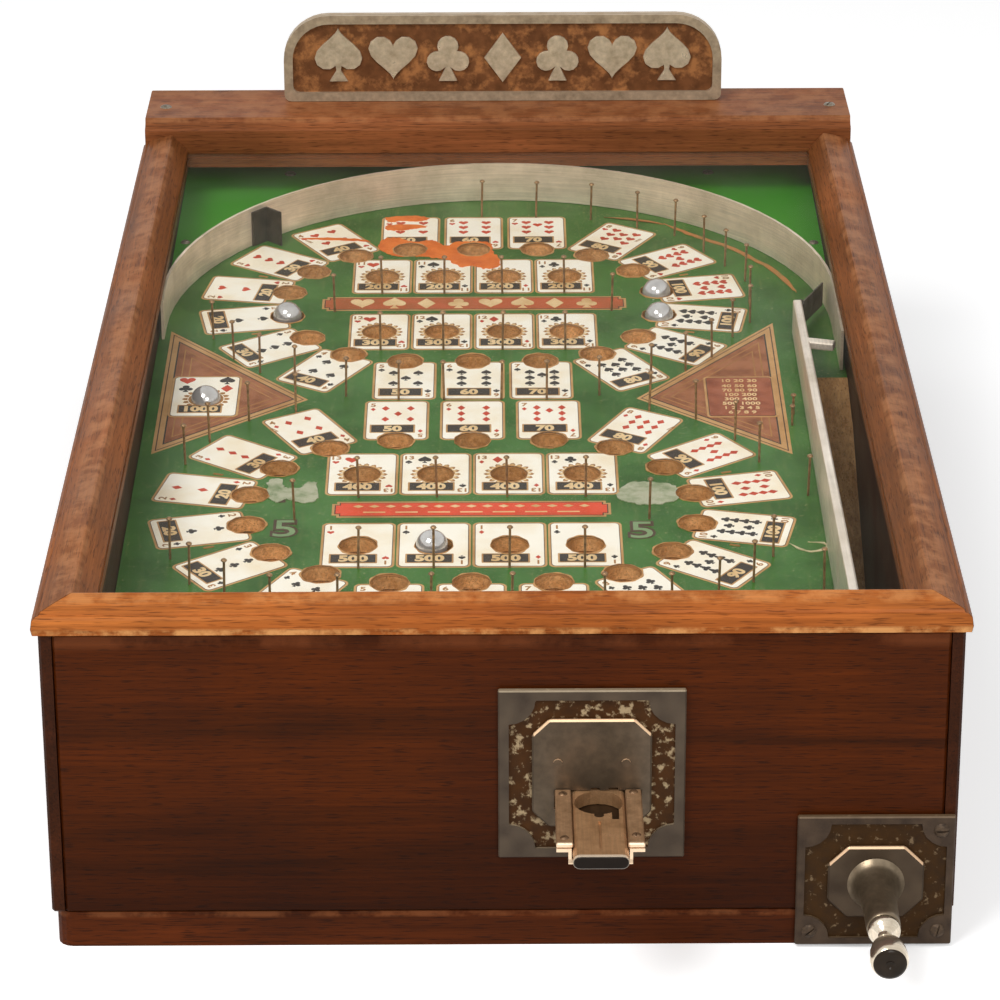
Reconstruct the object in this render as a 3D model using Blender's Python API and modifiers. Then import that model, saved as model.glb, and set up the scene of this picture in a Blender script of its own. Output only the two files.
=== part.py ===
# Countertop pin game: a coin-operated pinball machine of the early 1930s.
#
# A walnut box with a sloping playfield under glass. A coin slide at the front pushes a shuttle board
# that lets the balls fall out of their pockets onto a tray, and a sprung plunger shoots them one by
# one up a ramped lane, past a one-way gate and round a metal arch. The moulded frame, the glass and
# the back board are one lid, hinged at the back.
#
# Metres, +Z up. X runs across the box, Y from its front to its back, and the origin is the middle of
# the base board's underside. The playfield and what stands on it hang from a tilted empty. Distances
# named as a y are measured from the cabinet's front.

import math

import bmesh
import bpy
from mathutils import Matrix, Vector

# Clearances that every fit shares
seat_gap = 0.0003
slide_gap = 0.0004
cut_overrun = 0.004
merge_distance = 0.00001
smooth_angle = math.radians(35)
flat_angle = math.radians(0.5)

# Cabinet
cabinet_width = 0.4064
cabinet_depth = 0.708
wall_top = 0.1565
base_thickness = 0.0175
base_inset = 0.0018
base_corner_radius = 0.007
side_thickness = 0.019
side_lip = 0.0058
front_thickness = 0.019
back_thickness = 0.012
board_edge_radius = 0.0012

# Playfield: a printed face sheet on a board, in a frame tilted about the cabinet's front
playfield_front_height = 0.0994
playfield_rise = 0.03526
playfield_thickness = 0.008
face_thickness = 0.001
playfield_end_gap = 0.0007
playfield_side_gap = 0.0006
cleat_width = 0.011
cleat_height = 0.016

# Layout of the pockets: two ovals, each round two rows of four, on one centre line, and one pocket by
# the left wall. Places and reaches across are shares of the cabinet's inner half width, and those
# along it are shares of its inner length
pocket_radius = 0.00925
pocket_segments = 12
layout_centre_share = -0.07655
upper_oval_place_share = 0.70331
upper_oval_width_share = 0.5505
upper_oval_height_share = 0.10905
upper_row_offset_share = 0.05402
upper_row_pitch_share = 0.1835
lower_oval_place_share = 0.34124
lower_oval_width_share = 0.60043
lower_oval_height_share = 0.11279
lower_row_offset_share = 0.05632
lower_row_pitch_share = 0.20033
side_pocket_inset = 0.0307
side_pocket_share = 0.52658
# One quarter of an oval, as shares of its half width and half height
oval_quarter_shares = ((0.655, 0.885), (0.88, 0.592), (1.0, 0.212))
oval_end_share = 0.355

# Balls: five lie in pockets, one waits on the tray and one in the lane. A ball in a pocket has the
# pocket's number, and how far off its centre it lies in shares of its radius
ball_radius = 0.00794
ball_segments = 12
ball_rings = 8
ball_pocket_shares = (
    (2, 0.011, 0.0865), (11, -0.022, -0.12), (8, 0.0, -0.13), (52, 0.0, -0.0216), (42, -0.102, 0.032),
)
tray_ball_inset = 0.0167
tray_ball_y = 0.1203

# Pins, as shares of the inner half width either side of the layout's centre line, and of the
# cabinet's inner length from its front
pin_radius = 0.001
pin_head_radius = 0.002
pin_height = 0.0228
pin_head_height = 0.0022
pin_segments = 6
pin_pair_shares = (
    (0.760, 0.638), (0.692, 0.600), (0.612, 0.575), (0.509, 0.554), (0.360, 0.532),
    (0.210, 0.525), (0.081, 0.525), (0.627, 0.489), (0.498, 0.504), (0.729, 0.453),
    (0.788, 0.416), (0.411, 0.689), (0.474, 0.325), (0.791, 0.266), (0.731, 0.228),
    (0.635, 0.203), (0.513, 0.181), (0.342, 0.181), (0.103, 0.182), (0.273, 0.724),
    (0.087, 0.724), (0.269, 0.616), (0.086, 0.616), (0.307, 0.361), (0.095, 0.361),
    (0.296, 0.251), (0.099, 0.251),
)
# The pins that lead a ball round the top right, as angles from the arch's centre and shares of its radius
arch_pin_shares = (
    (93.5, 0.862), (82.0, 0.857), (70.6, 0.880), (60.2, 0.879), (51.6, 0.888),
    (41.6, 0.852), (33.1, 0.832), (24.2, 0.825), (12.7, 0.775), (2.1, 0.750),
)
# Pins and nails beside the lane, as shares of the divider's place and of the cabinet's inner length
lane_pin_shares = ((0.9676, 0.361), (0.971, 0.216))
lane_nail_shares = ((0.9618, 0.497), (0.9524, 0.478))
lane_nail_height = 0.012

# Arch rail
arch_wall_gap = 0.0023
arch_end_gap = 0.0561
arch_thickness = 0.0015
arch_height = 0.023
arch_segments = 40
arch_left_drop = 0.015
arch_right_drop = 0.058
arch_stop_angle = 137.0
arch_stop_length = 0.012
arch_stop_height = 0.0205
arch_stop_thickness = 0.001

# Shooter lane: its pieces end some way below the arch's centre
lane_width = 0.0213
divider_thickness = 0.0047
divider_top = 0.142
divider_end_drop = 0.011
divider_bevel = 0.0009
crossbar_drop = 0.0715
crossbar_length = 0.0145
crossbar_width = 0.0062
crossbar_height = 0.0045
crossbar_turn = math.radians(-17.0)
lane_slot_drop = 0.067
lane_wall_thickness = 0.006
lane_wall_inset = 0.0062
lane_wall_drop = 0.018
ramp_flat_end_y = 0.15
ramp_floor_height = 0.0248
ramp_end_drop = 0.0107
ramp_bend_share = 0.4
ramp_steps = 12
lip_length = 0.036
lip_depth = 0.006

# One-way gate
gate_length = 0.031
gate_height = 0.0135
gate_thickness = 0.0008
gate_lift = 0.003
gate_knuckle_radius = 0.0019
gate_pin_radius = 0.0009
gate_pin_height = 0.0185
gate_rest_angle = math.radians(64.0)
gate_back_gap = 0.0042

# Shuttle board under the playfield, which drops the balls
shuttle_thickness = 0.005
shuttle_hole_radius = 0.00875
shuttle_hole_segments = 8
shuttle_travel = 0.016
shuttle_left_margin = 0.0125
shuttle_right_margin = 0.017
shuttle_back_margin = 0.0266
runner_foot = 0.0045
runner_width = 0.006
runner_lip = 0.0028
striker_y = 0.1023
striker_overlap = 0.0017
striker_width = 0.024
striker_thickness = 0.006
striker_drop = 0.0335
lug_x = 0.0178
lug_width = 0.009
lug_height = 0.009
lug_drop = 0.0198

# Ball tray
tray_drop = 0.05
tray_thickness = 0.004
tray_left_gap = 0.0008
tray_right_gap = 0.0011
tray_back_gap = 0.056
tray_left_front_y = 0.2
tray_corner_inset = 0.0456
tray_corner_y = 0.13
tray_front_y = 0.084
fence_height = 0.012
fence_depth = 0.0062
outlet_fence_depth = 0.0085
outlet_front_y = 0.0925
outlet_back_y = 0.114
outlet_height = 0.024
tray_cleat_width = 0.0105
tray_cleat_height = 0.012
tray_cleat_front_y = 0.215

# Plates on the front: rims round a recess with scooped corners, and an eight-sided panel in it
plate_thickness = 0.0032
plate_recess = 0.0014
coin_plate_rim = 0.0047
plate_scoop = 0.0118
plate_edge_bevel = 0.0006
panel_thickness = 0.0024
panel_edge_bevel = 0.0008

# Coin plate and its chute
coin_plate_x = 0.0396
coin_plate_z = 0.0882
coin_plate_size = 0.083
coin_panel_size = 0.053
coin_panel_chamfer = 0.0075
coin_panel_rise = 0.0012
rivet_radius = 0.0021
rivet_height = 0.0009
rivet_spacing = 0.0302
rivet_rise = 0.0055
chute_x = 0.0423
chute_half_width = 0.0192
chute_floor_z = 0.0742
chute_floor_thickness = 0.0022
chute_depth = 0.0053
chute_wall = 0.0014
chute_wing_thickness = 0.0016
chute_reach = 0.056
chute_inner_length = 0.056
coin_radius = 0.0108
coin_pocket_y = 0.016
coin_drop_margin = 0.0007
slide_half_width = 0.0122
slide_height = 0.0067
slide_reach = 0.066
slide_travel = 0.052
slide_side_round = 0.003
slide_end_bevel = 0.0008
slide_groove_width = 0.0012
slide_groove_depth = 0.001
slide_groove_front = 0.0075
slide_groove_back = 0.0065
slide_notch_radius = 0.0023
slide_slot_x = 0.0072
slide_slot_width = 0.0032
slide_slot_length = 0.0046
# Two dark slots in the panel over the slide, as shares of the slide's half width from its middle
panel_slot_shares = (-0.1, 0.56)
panel_slot_width = 0.0042
panel_slot_height = 0.0016
guide_thickness = 0.0022
guide_overhang = 0.0006
guide_edge = 0.0005
cross_pin_radius = 0.0015
cross_pin_inset = 0.006
cross_pin_reach = 0.0275
spring_post_radius = 0.002
spring_post_length = 0.007
slide_spring_reach = 0.0235

# Cash box
cash_box_x = 0.045
cash_box_width = 0.066
cash_box_depth = 0.062
cash_box_height = 0.036
cash_box_wall = 0.0016
cash_box_front_gap = 0.004

# Plunger and its plate
plunger_inset = 0.017
plunger_z = 0.0335
plunger_plate_shift = 0.0003
plunger_plate_z = 0.034
plunger_plate_width = 0.0705
plunger_plate_height = 0.065
plunger_plate_scoop = 0.0115
plunger_plate_rim = 0.0036
plunger_panel_z = 0.0341
plunger_panel_width = 0.043
plunger_panel_height = 0.0355
plunger_panel_chamfer = 0.0088
plunger_travel = 0.038
rod_radius = 0.004
rod_clearance = 0.0003
sleeve_length = 0.0403
sleeve_radius = 0.013
# The sleeve's outer side, as shares of its radius and of its length from its front end
sleeve_shares = (
    (0.56, 0.0), (0.585, 0.02), (0.585, 0.3), (0.605, 0.55), (0.7, 0.81), (0.82, 0.93), (1.0, 1.0),
)
round_segments = 20
fine_segments = 10
bush_radius = 0.0082
bush_length = 0.006
collar_radius = 0.0072
collar_length = 0.004
barrel_radius = 0.0068
barrel_length = 0.036
squeezed_spring_length = 0.019
knob_length = 0.0318
knob_radius = 0.0085
# The knob's outer side, as shares of its radius and of its length from its front end
knob_shares = (
    (0.7, 0.0), (0.88, 0.04), (1.0, 0.11), (1.0, 0.2), (0.95, 0.33), (0.82, 0.47), (0.6, 0.59), (0.42, 0.68),
    (0.36, 0.74), (0.4, 0.79), (0.66, 0.85), (0.84, 0.9), (0.86, 0.96), (0.8, 1.0),
)
knob_dimple_radius = 0.0022
knob_dimple_depth = 0.0012
knob_tang_radius = 0.0018
knob_tang_length = 0.014

# Springs
plunger_spring_radius = 0.0056
plunger_spring_wire = 0.00065
plunger_spring_curls = 10
return_spring_radius = 0.0032
return_spring_wire = 0.00045
slide_spring_curls = 10
shuttle_spring_curls = 12
curl_points = 8

# Top frame: its moulding in shares of its width from the outer edge and of its rise from the walls'
# tops, then a groove for the glass and a tongue inside the walls
frame_overhang = 0.0028
frame_width = 0.026
frame_rise = 0.0132
moulding_shares = (
    (0.023, 0.0), (0.0, 0.242), (0.023, 0.545), (0.077, 0.636), (0.127, 0.636), (0.154, 0.742),
    (0.388, 0.886), (0.635, 1.0), (0.673, 0.985), (0.977, 0.318), (1.0, 0.258),
)
tongue_gap = 0.0005
tongue_drop = 0.0065
mitre_gap = 0.0003
mitre_block = 0.104
glass_thickness = 0.003
glass_play = 0.0002
groove_depth = 0.0018
groove_top = 0.0019

# Back board: its section in shares of its depth from the frame's back end and of its rise
back_board_depth = 0.063
back_board_rise = 0.0215
back_board_shares = (
    (0.0, 0.0), (0.0, 0.721), (0.016, 0.767), (0.051, 0.8), (0.083, 0.884), (0.095, 0.977),
    (0.114, 1.0), (0.929, 1.0), (0.975, 0.958), (1.0, 0.837), (1.0, 0.0),
)
back_board_end_inset = 0.0014
back_board_end_radius = 0.006
back_tongue_depth = 0.0073
back_tongue_gap = 0.0007

# Header plate
header_x = 0.003
header_inset = 0.024
header_width = 0.256
header_height = 0.052
header_thickness = 0.0065
header_corner_radius = 0.027
header_foot_radius = 0.004
header_rim = 0.0052
header_recess = 0.0022
header_lug_width = 0.022
header_lug_depth = 0.012
header_lug_thickness = 0.004
header_lug_spacing = 0.17
header_foot_steps = 3
header_crown_steps = 9

# Hinge at the back
hinge_length = 0.3
hinge_knuckles = 5
hinge_barrel_radius = 0.0034
hinge_pin_radius = 0.0015
hinge_leaf_thickness = 0.0014
hinge_leaf_height = 0.017
hinge_knuckle_gap = 0.0005
hinge_segments = 14

# Values that follow from those above
front = -cabinet_depth / 2
back = cabinet_depth / 2
half_width = cabinet_width / 2
inner_half = half_width - side_thickness
inner_front = front + front_thickness
inner_back = back - back_thickness
wall_foot = base_thickness + seat_gap
frame_foot = wall_top + seat_gap
field_length = cabinet_depth - back_thickness
playfield_tilt = math.atan(playfield_rise / field_length)
playfield_start = front_thickness + playfield_end_gap
playfield_end = field_length - playfield_end_gap
board_top = -face_thickness - seat_gap
layout_centre_x = layout_centre_share * inner_half
upper_oval_y = upper_oval_place_share * field_length
upper_oval_half_width = upper_oval_width_share * inner_half
upper_oval_half_height = upper_oval_height_share * field_length
upper_row_offset = upper_row_offset_share * field_length
upper_row_pitch = upper_row_pitch_share * inner_half
lower_oval_y = lower_oval_place_share * field_length
lower_oval_half_width = lower_oval_width_share * inner_half
lower_oval_half_height = lower_oval_height_share * field_length
lower_row_offset = lower_row_offset_share * field_length
lower_row_pitch = lower_row_pitch_share * inner_half
side_pocket_x = side_pocket_inset - inner_half
side_pocket_y = side_pocket_share * field_length
arch_radius = inner_half - arch_wall_gap
arch_centre_y = field_length - arch_end_gap - arch_radius
arch_left_end_y = arch_centre_y - arch_left_drop
arch_right_end_y = arch_centre_y - arch_right_drop
divider_right_x = inner_half - lane_width
divider_left_x = divider_right_x - divider_thickness
divider_end_y = arch_centre_y - divider_end_drop
crossbar_y = arch_centre_y - crossbar_drop
lane_slot_end_y = arch_centre_y - lane_slot_drop
lane_wall_end_y = arch_centre_y - lane_wall_drop
lane_wall_right_x = divider_right_x - lane_wall_inset
lane_wall_left_x = lane_wall_right_x - lane_wall_thickness
shuttle_left_x = side_pocket_x - shuttle_left_margin
shuttle_right_x = layout_centre_x + lower_oval_half_width + shuttle_right_margin
shuttle_front_y = striker_y + striker_overlap
shuttle_back_y = upper_oval_y + upper_oval_half_height + shuttle_back_margin
tray_left_x = tray_left_gap - inner_half
tray_right_x = lane_wall_left_x - tray_right_gap
tray_corner_x = tray_right_x - tray_corner_inset
tray_back_y = field_length - tray_back_gap
tray_ball_x = lane_wall_left_x - tray_ball_inset
plunger_x = inner_half - plunger_inset
plunger_plate_x = plunger_x - plunger_plate_shift
spring_room = plunger_travel + squeezed_spring_length
glass_top = groove_top - glass_play
groove_foot = glass_thickness - glass_top + glass_play / 2
glass_inset = frame_width - groove_depth + seat_gap
frame_end = back - back_board_depth
back_tongue_half_width = inner_half - back_tongue_gap
shuttle_top = -playfield_thickness - slide_gap
shuttle_foot = shuttle_top - shuttle_thickness
chute_top_z = chute_floor_z + chute_depth
slide_top = chute_floor_z + slide_height
slide_tail_y = striker_y + shuttle_travel - slide_travel
plate_face_y = front - seat_gap - plate_thickness
panel_back_y = plate_face_y + plate_recess - seat_gap
panel_face_y = panel_back_y - panel_thickness
slide_spring_z = chute_floor_z + slide_height / 2
sleeve_foot_y = panel_face_y - seat_gap
sleeve_end_y = sleeve_foot_y - sleeve_length
knob_back_y = sleeve_end_y - slide_gap
barrel_start_y = inner_front + bush_length + spring_room + seat_gap
hinge_y = back + seat_gap + hinge_barrel_radius
hinge_z = (wall_top + frame_foot) / 2

for old in list(bpy.data.objects):
    bpy.data.objects.remove(old, do_unlink=True)

parts = bpy.data.collections.new("pinball_machine")
cutters = bpy.data.collections.new("cutters")
cutters.hide_render = True
bpy.context.scene.collection.children.link(parts)
bpy.context.scene.collection.children.link(cutters)


def material(name, colour, roughness, metallic=0.0, alpha=1.0):
    """A plain finish: one Principled surface."""
    made = bpy.data.materials.new(name)
    made.use_nodes = True
    shader = made.node_tree.nodes["Principled BSDF"]
    shader.inputs["Base Color"].default_value = (*colour, 1.0)
    shader.inputs["Roughness"].default_value = roughness
    shader.inputs["Metallic"].default_value = metallic
    shader.inputs["Alpha"].default_value = alpha
    return made


walnut = material("walnut", (0.16, 0.055, 0.025), 0.42)
mahogany = material("mahogany", (0.30, 0.11, 0.05), 0.38)
plain_wood = material("plain_wood", (0.42, 0.25, 0.12), 0.6)
green_paint = material("green_paint", (0.07, 0.19, 0.045), 0.35)
brass = material("brass", (0.62, 0.43, 0.2), 0.35, 1.0)
cast_aluminium = material("cast_aluminium", (0.62, 0.58, 0.5), 0.45, 1.0)
old_steel = material("old_steel", (0.2, 0.18, 0.15), 0.5, 1.0)
nickel = material("nickel", (0.6, 0.54, 0.45), 0.25, 1.0)
chrome = material("chrome", (0.75, 0.72, 0.66), 0.12, 1.0)
ball_steel = material("ball_steel", (0.7, 0.7, 0.7), 0.15, 1.0)
clear_glass = material("clear_glass", (0.9, 0.95, 0.92), 0.03, 0.0, 0.25)


def link(obj, finish):
    """Puts a finished piece in the parts' collection, or a cutter (no finish) in the other."""
    home = parts if finish else cutters
    for old_home in list(obj.users_collection):
        old_home.objects.unlink(obj)
    home.objects.link(obj)
    if finish:
        obj.data.materials.clear()
        obj.data.materials.append(finish)
    else:
        obj.hide_render = True
        obj.display_type = "WIRE"
    return obj


def from_bmesh(name, shape, finish, location=(0.0, 0.0, 0.0)):
    mesh = bpy.data.meshes.new(name)
    bmesh.ops.recalc_face_normals(shape, faces=shape.faces)
    shape.to_mesh(mesh)
    shape.free()
    obj = bpy.data.objects.new(name, mesh)
    obj.location = location
    return link(obj, finish)


def round_edges(obj, width, segments=1):
    """Rounds the sharp edges of a piece by a Bevel."""
    bevel = obj.modifiers.new("rounded edges", "BEVEL")
    bevel.width = width
    bevel.segments = segments
    bevel.limit_method = "ANGLE"
    return obj


def box(name, low, high, finish, edge=0.0):
    """A block between two corners, its origin in its middle."""
    low = Vector(low)
    high = Vector(high)
    shape = bmesh.new()
    bmesh.ops.create_cube(shape, size=1.0)
    bmesh.ops.scale(shape, vec=high - low, verts=shape.verts)
    obj = from_bmesh(name, shape, finish, (low + high) / 2)
    return round_edges(obj, edge) if edge else obj


def rod(name, radius, start, end, finish, segments=12):
    """A round bar from one point to another."""
    start = Vector(start)
    end = Vector(end)
    run = end - start
    shape = bmesh.new()
    bmesh.ops.create_cone(
        shape, cap_ends=True, segments=segments, radius1=radius, radius2=radius, depth=run.length
    )
    obj = from_bmesh(name, shape, finish, (start + end) / 2)
    obj.rotation_euler = run.to_track_quat("Z", "Y").to_euler()
    smooth(obj)
    return obj


def smooth(obj):
    obj.data.shade_smooth()
    obj.data.set_sharp_from_angle(angle=smooth_angle)
    return obj


def slab(name, outline, thickness, finish, turn=None, location=(0.0, 0.0, 0.0)):
    """A flat outline given thickness, as a mesh centred on its plane. turn stands it up."""
    curve = bpy.data.curves.new(name + " outline", "CURVE")
    curve.dimensions = "2D"
    curve.fill_mode = "BOTH"
    curve.extrude = thickness / 2
    line = curve.splines.new("POLY")
    line.points.add(len(outline) - 1)
    for point, (across, up) in zip(line.points, outline):
        point.co = (across, up, 0.0, 1.0)
    line.use_cyclic_u = True
    drawn = bpy.data.objects.new(name + " outline", curve)
    bpy.context.scene.collection.objects.link(drawn)
    graph = bpy.context.evaluated_depsgraph_get()
    mesh = bpy.data.meshes.new_from_object(drawn.evaluated_get(graph))
    bpy.data.objects.remove(drawn, do_unlink=True)
    shape = bmesh.new()
    shape.from_mesh(mesh)
    bpy.data.meshes.remove(mesh)
    bmesh.ops.remove_doubles(shape, verts=shape.verts, dist=merge_distance)
    bmesh.ops.dissolve_limit(shape, angle_limit=flat_angle, verts=shape.verts, edges=shape.edges)
    if turn:
        bmesh.ops.transform(shape, matrix=turn, verts=shape.verts)
    bmesh.ops.translate(shape, vec=Vector(location), verts=shape.verts)
    return from_bmesh(name, shape, finish)


# How an outline drawn in (across, up) stands in space
facing_front = Matrix.Rotation(math.pi / 2, 4, "X")
along_x = Matrix.Rotation(math.pi / 2, 4, "Z") @ Matrix.Rotation(math.pi / 2, 4, "X")


def turned(name, profile, finish, location, segments=round_segments, axis="Y"):
    """A turned piece: a profile of (radius, place along the axis) from its top down, by a Screw.

    A profile that starts off the axis is a ring's, and is closed through its bore.
    """
    shape = bmesh.new()
    verts = [shape.verts.new((radius, 0.0, along)) for radius, along in profile]
    for first, second in zip(verts, verts[1:]):
        shape.edges.new((first, second))
    if profile[0][0]:
        shape.edges.new((verts[-1], verts[0]))
    mesh = bpy.data.meshes.new(name)
    shape.to_mesh(mesh)
    shape.free()
    obj = bpy.data.objects.new(name, mesh)
    screw = obj.modifiers.new("turning", "SCREW")
    screw.steps = segments
    screw.render_steps = segments
    screw.use_merge_vertices = True
    screw.merge_threshold = merge_distance
    obj.location = location
    if axis == "Y":
        obj.rotation_euler = (math.pi / 2, 0.0, 0.0)
    link(obj, finish)
    return smooth(obj)


def apply_modifiers(obj):
    """Swaps a piece's mesh for what its modifiers make of it."""
    bpy.context.view_layer.update()
    graph = bpy.context.evaluated_depsgraph_get()
    done = bpy.data.meshes.new_from_object(obj.evaluated_get(graph))
    obj.modifiers.clear()
    obj.data = done
    return obj


def gathered(pieces):
    """Separate solids in one helper object, ready to be cut from a piece or joined on to it."""
    shape = bmesh.new()
    bpy.context.view_layer.update()
    for piece in pieces:
        apply_modifiers(piece)
        mesh = piece.data.copy()
        mesh.transform(piece.matrix_basis)
        shape.from_mesh(mesh)
        bpy.data.meshes.remove(mesh)
        bpy.data.objects.remove(piece, do_unlink=True)
    return from_bmesh("gathered", shape, None)


def combine(obj, other, operation):
    """Cuts the other shape from a piece, or joins it on, and takes the other away."""
    change = obj.modifiers.new(operation.lower(), "BOOLEAN")
    change.operation = operation
    change.object = other
    change.solver = "EXACT"
    apply_modifiers(obj)
    bpy.data.objects.remove(other, do_unlink=True)
    return obj


def cut(obj, cutter):
    return combine(obj, cutter, "DIFFERENCE")


def union(obj, other):
    return combine(obj, other, "UNION")


def arc(centre, radius, start, end, steps):
    """Points along a round stretch of an outline, angles in degrees."""
    angles = [math.radians(start + (end - start) * i / steps) for i in range(steps + 1)]
    return [(centre[0] + radius * math.cos(a), centre[1] + radius * math.sin(a)) for a in angles]


def rounded_rectangle(left, low, right, high, radius, steps=4):
    corners = (
        ((left + radius, low + radius), 180),
        ((right - radius, low + radius), 270),
        ((right - radius, high - radius), 0),
        ((left + radius, high - radius), 90),
    )
    points = []
    for centre, start in corners:
        points += arc(centre, radius, start, start + 90, steps)
    return points


def rectangle(width, height):
    return [
        (-width / 2, -height / 2), (width / 2, -height / 2),
        (width / 2, height / 2), (-width / 2, height / 2),
    ]


def scooped_rectangle(width, height, scoop, steps=5):
    """A panel outline with a quarter circle taken out of each corner."""
    corners = (
        ((-width / 2, -height / 2), 90),
        ((width / 2, -height / 2), 180),
        ((width / 2, height / 2), 270),
        ((-width / 2, height / 2), 0),
    )
    points = []
    for centre, start in corners:
        points += arc(centre, scoop, start, start - 90, steps)
    return points


def octagon(width, height, chamfer):
    side = width / 2
    top = height / 2
    return [
        (-side, -top + chamfer), (-side + chamfer, -top), (side - chamfer, -top), (side, -top + chamfer),
        (side, top - chamfer), (side - chamfer, top), (-side + chamfer, top), (-side, top - chamfer),
    ]


def surface_height(distance):
    """Height of the playfield's top at a distance from the cabinet's front, on the level."""
    return playfield_front_height + distance * math.tan(playfield_tilt)


# Empties carry the pieces that move together; the playfield's is tilted
playfield_frame = bpy.data.objects.new("playfield_frame", None)
playfield_frame.location = (0.0, front, playfield_front_height)
playfield_frame.rotation_euler = (playfield_tilt, 0.0, 0.0)
parts.objects.link(playfield_frame)
slide_frame = bpy.data.objects.new("slide_frame", None)
slide_frame.location = (chute_x, front, chute_floor_z)
parts.objects.link(slide_frame)
lid_frame = bpy.data.objects.new("lid_frame", None)
lid_frame.location = (0.0, hinge_y, hinge_z)
parts.objects.link(lid_frame)
bpy.context.view_layer.update()


def carried(obj, frame):
    """Hangs a piece from a frame without moving it."""
    obj.parent = frame
    obj.matrix_parent_inverse = frame.matrix_world.inverted()
    return obj


def on_playfield(obj):
    obj.parent = playfield_frame
    return obj


def lug_place():
    """Where the front of the shuttle's spring lug is in the cabinet: its y and its height."""
    y = striker_y * math.cos(playfield_tilt) + lug_drop * math.sin(playfield_tilt)
    z = striker_y * math.sin(playfield_tilt) - lug_drop * math.cos(playfield_tilt)
    return front + y, playfield_front_height + z


def oval_places(centre_y, half_width, half_height, row_offset, row_pitch):
    """The eighteen pockets of an oval and the two rows of four inside it."""
    places = []
    for side in (-1, 1):
        for end in (-1, 1):
            for across, up in oval_quarter_shares:
                places.append((side * across * half_width, end * up * half_height))
    for end in (-1, 1):
        for step in (-1, 0, 1):
            places.append((step * oval_end_share * half_width, end * half_height))
        for step in (-3, -1, 1, 3):
            places.append((step * row_pitch / 2, end * row_offset))
    return [(layout_centre_x + x, centre_y + y) for x, y in places]


def pocket_places():
    upper = oval_places(
        upper_oval_y, upper_oval_half_width, upper_oval_half_height, upper_row_offset, upper_row_pitch
    )
    lower = oval_places(
        lower_oval_y, lower_oval_half_width, lower_oval_half_height, lower_row_offset, lower_row_pitch
    )
    return upper + lower + [(side_pocket_x, side_pocket_y)]


def hole_cutter(places, radius, segments, low, high):
    """One cutter with a round bar at each place."""
    shape = bmesh.new()
    for x, y in places:
        bmesh.ops.create_cone(
            shape, cap_ends=True, segments=segments, radius1=radius, radius2=radius, depth=high - low,
            matrix=Matrix.Translation((x, y, (low + high) / 2)),
        )
    return from_bmesh("holes", shape, None)


def chute_hole():
    """A cutter for the opening that the chute and the slide go through."""
    return box(
        "chute hole",
        (chute_x - chute_half_width - seat_gap, front - chute_reach,
         chute_floor_z - chute_floor_thickness - seat_gap),
        (chute_x + chute_half_width + seat_gap, inner_front + cut_overrun, slide_top + slide_gap), None,
    )


def make_cabinet():
    outline = rounded_rectangle(
        -half_width + base_inset, front + base_inset / 2, half_width - base_inset, back - base_inset,
        base_corner_radius,
    )
    slab("base_board", outline, base_thickness, walnut, None, (0.0, 0.0, base_thickness / 2))

    for side, name in ((-1, "left_side_panel"), (1, "right_side_panel")):
        edges = sorted((side * inner_half, side * half_width))
        panel = box(
            name, (edges[0], front, wall_foot), (edges[1], back, wall_top), walnut, board_edge_radius
        )
        rebate = sorted((side * (inner_half - cut_overrun), side * (half_width - side_lip)))
        for start, end in (
            (front - cut_overrun, inner_front + seat_gap),
            (inner_back - seat_gap, back + cut_overrun),
        ):
            cut(panel, box(
                "rebate", (rebate[0], start, wall_foot - cut_overrun),
                (rebate[1], end, wall_top + cut_overrun), None,
            ))

    reach = half_width - side_lip - seat_gap
    box(
        "back_panel", (-reach, inner_back, wall_foot), (reach, back, wall_top), walnut, board_edge_radius
    )
    panel = box(
        "front_panel", (-reach, front, wall_foot), (reach, inner_front, wall_top), walnut,
        board_edge_radius,
    )
    cut(panel, chute_hole())
    cut(panel, rod(
        "plunger hole", rod_radius + rod_clearance, (plunger_x, front - cut_overrun, plunger_z),
        (plunger_x, inner_front + cut_overrun, plunger_z), None, round_segments,
    ))
    for x, z in ((chute_x + slide_spring_reach, slide_spring_z), (lug_x, lug_place()[1])):
        union(panel, rod(
            "post", spring_post_radius, (x, inner_front - spring_post_length, z),
            (x, inner_front + spring_post_length, z), None,
        ))


def pin_places():
    places = []
    for across, along in pin_pair_shares:
        for side in (-1, 1):
            places.append((layout_centre_x + side * across * inner_half, along * field_length))
    for angle, share in arch_pin_shares:
        turn = math.radians(angle)
        reach = share * arch_radius
        places.append((reach * math.cos(turn), arch_centre_y + reach * math.sin(turn)))
    for across, along in lane_pin_shares:
        places.append((across * divider_left_x, along * field_length))
    return places


def pins():
    """Brass pins driven into the face: thin shanks with coned heads, in one helper."""
    made = []
    nails = [(across * divider_left_x, along * field_length) for across, along in lane_nail_shares]
    for places, height in ((pin_places(), pin_height), (nails, lane_nail_height)):
        for x, y in places:
            profile = (
                (0.0, height), (pin_head_radius, height - pin_head_height / 2),
                (pin_radius, height - pin_head_height), (pin_radius, -face_thickness / 2),
                (0.0, -face_thickness / 2),
            )
            made.append(turned("pin", profile, None, (x, y, 0.0), pin_segments, "Z"))
    return gathered(made)


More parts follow.
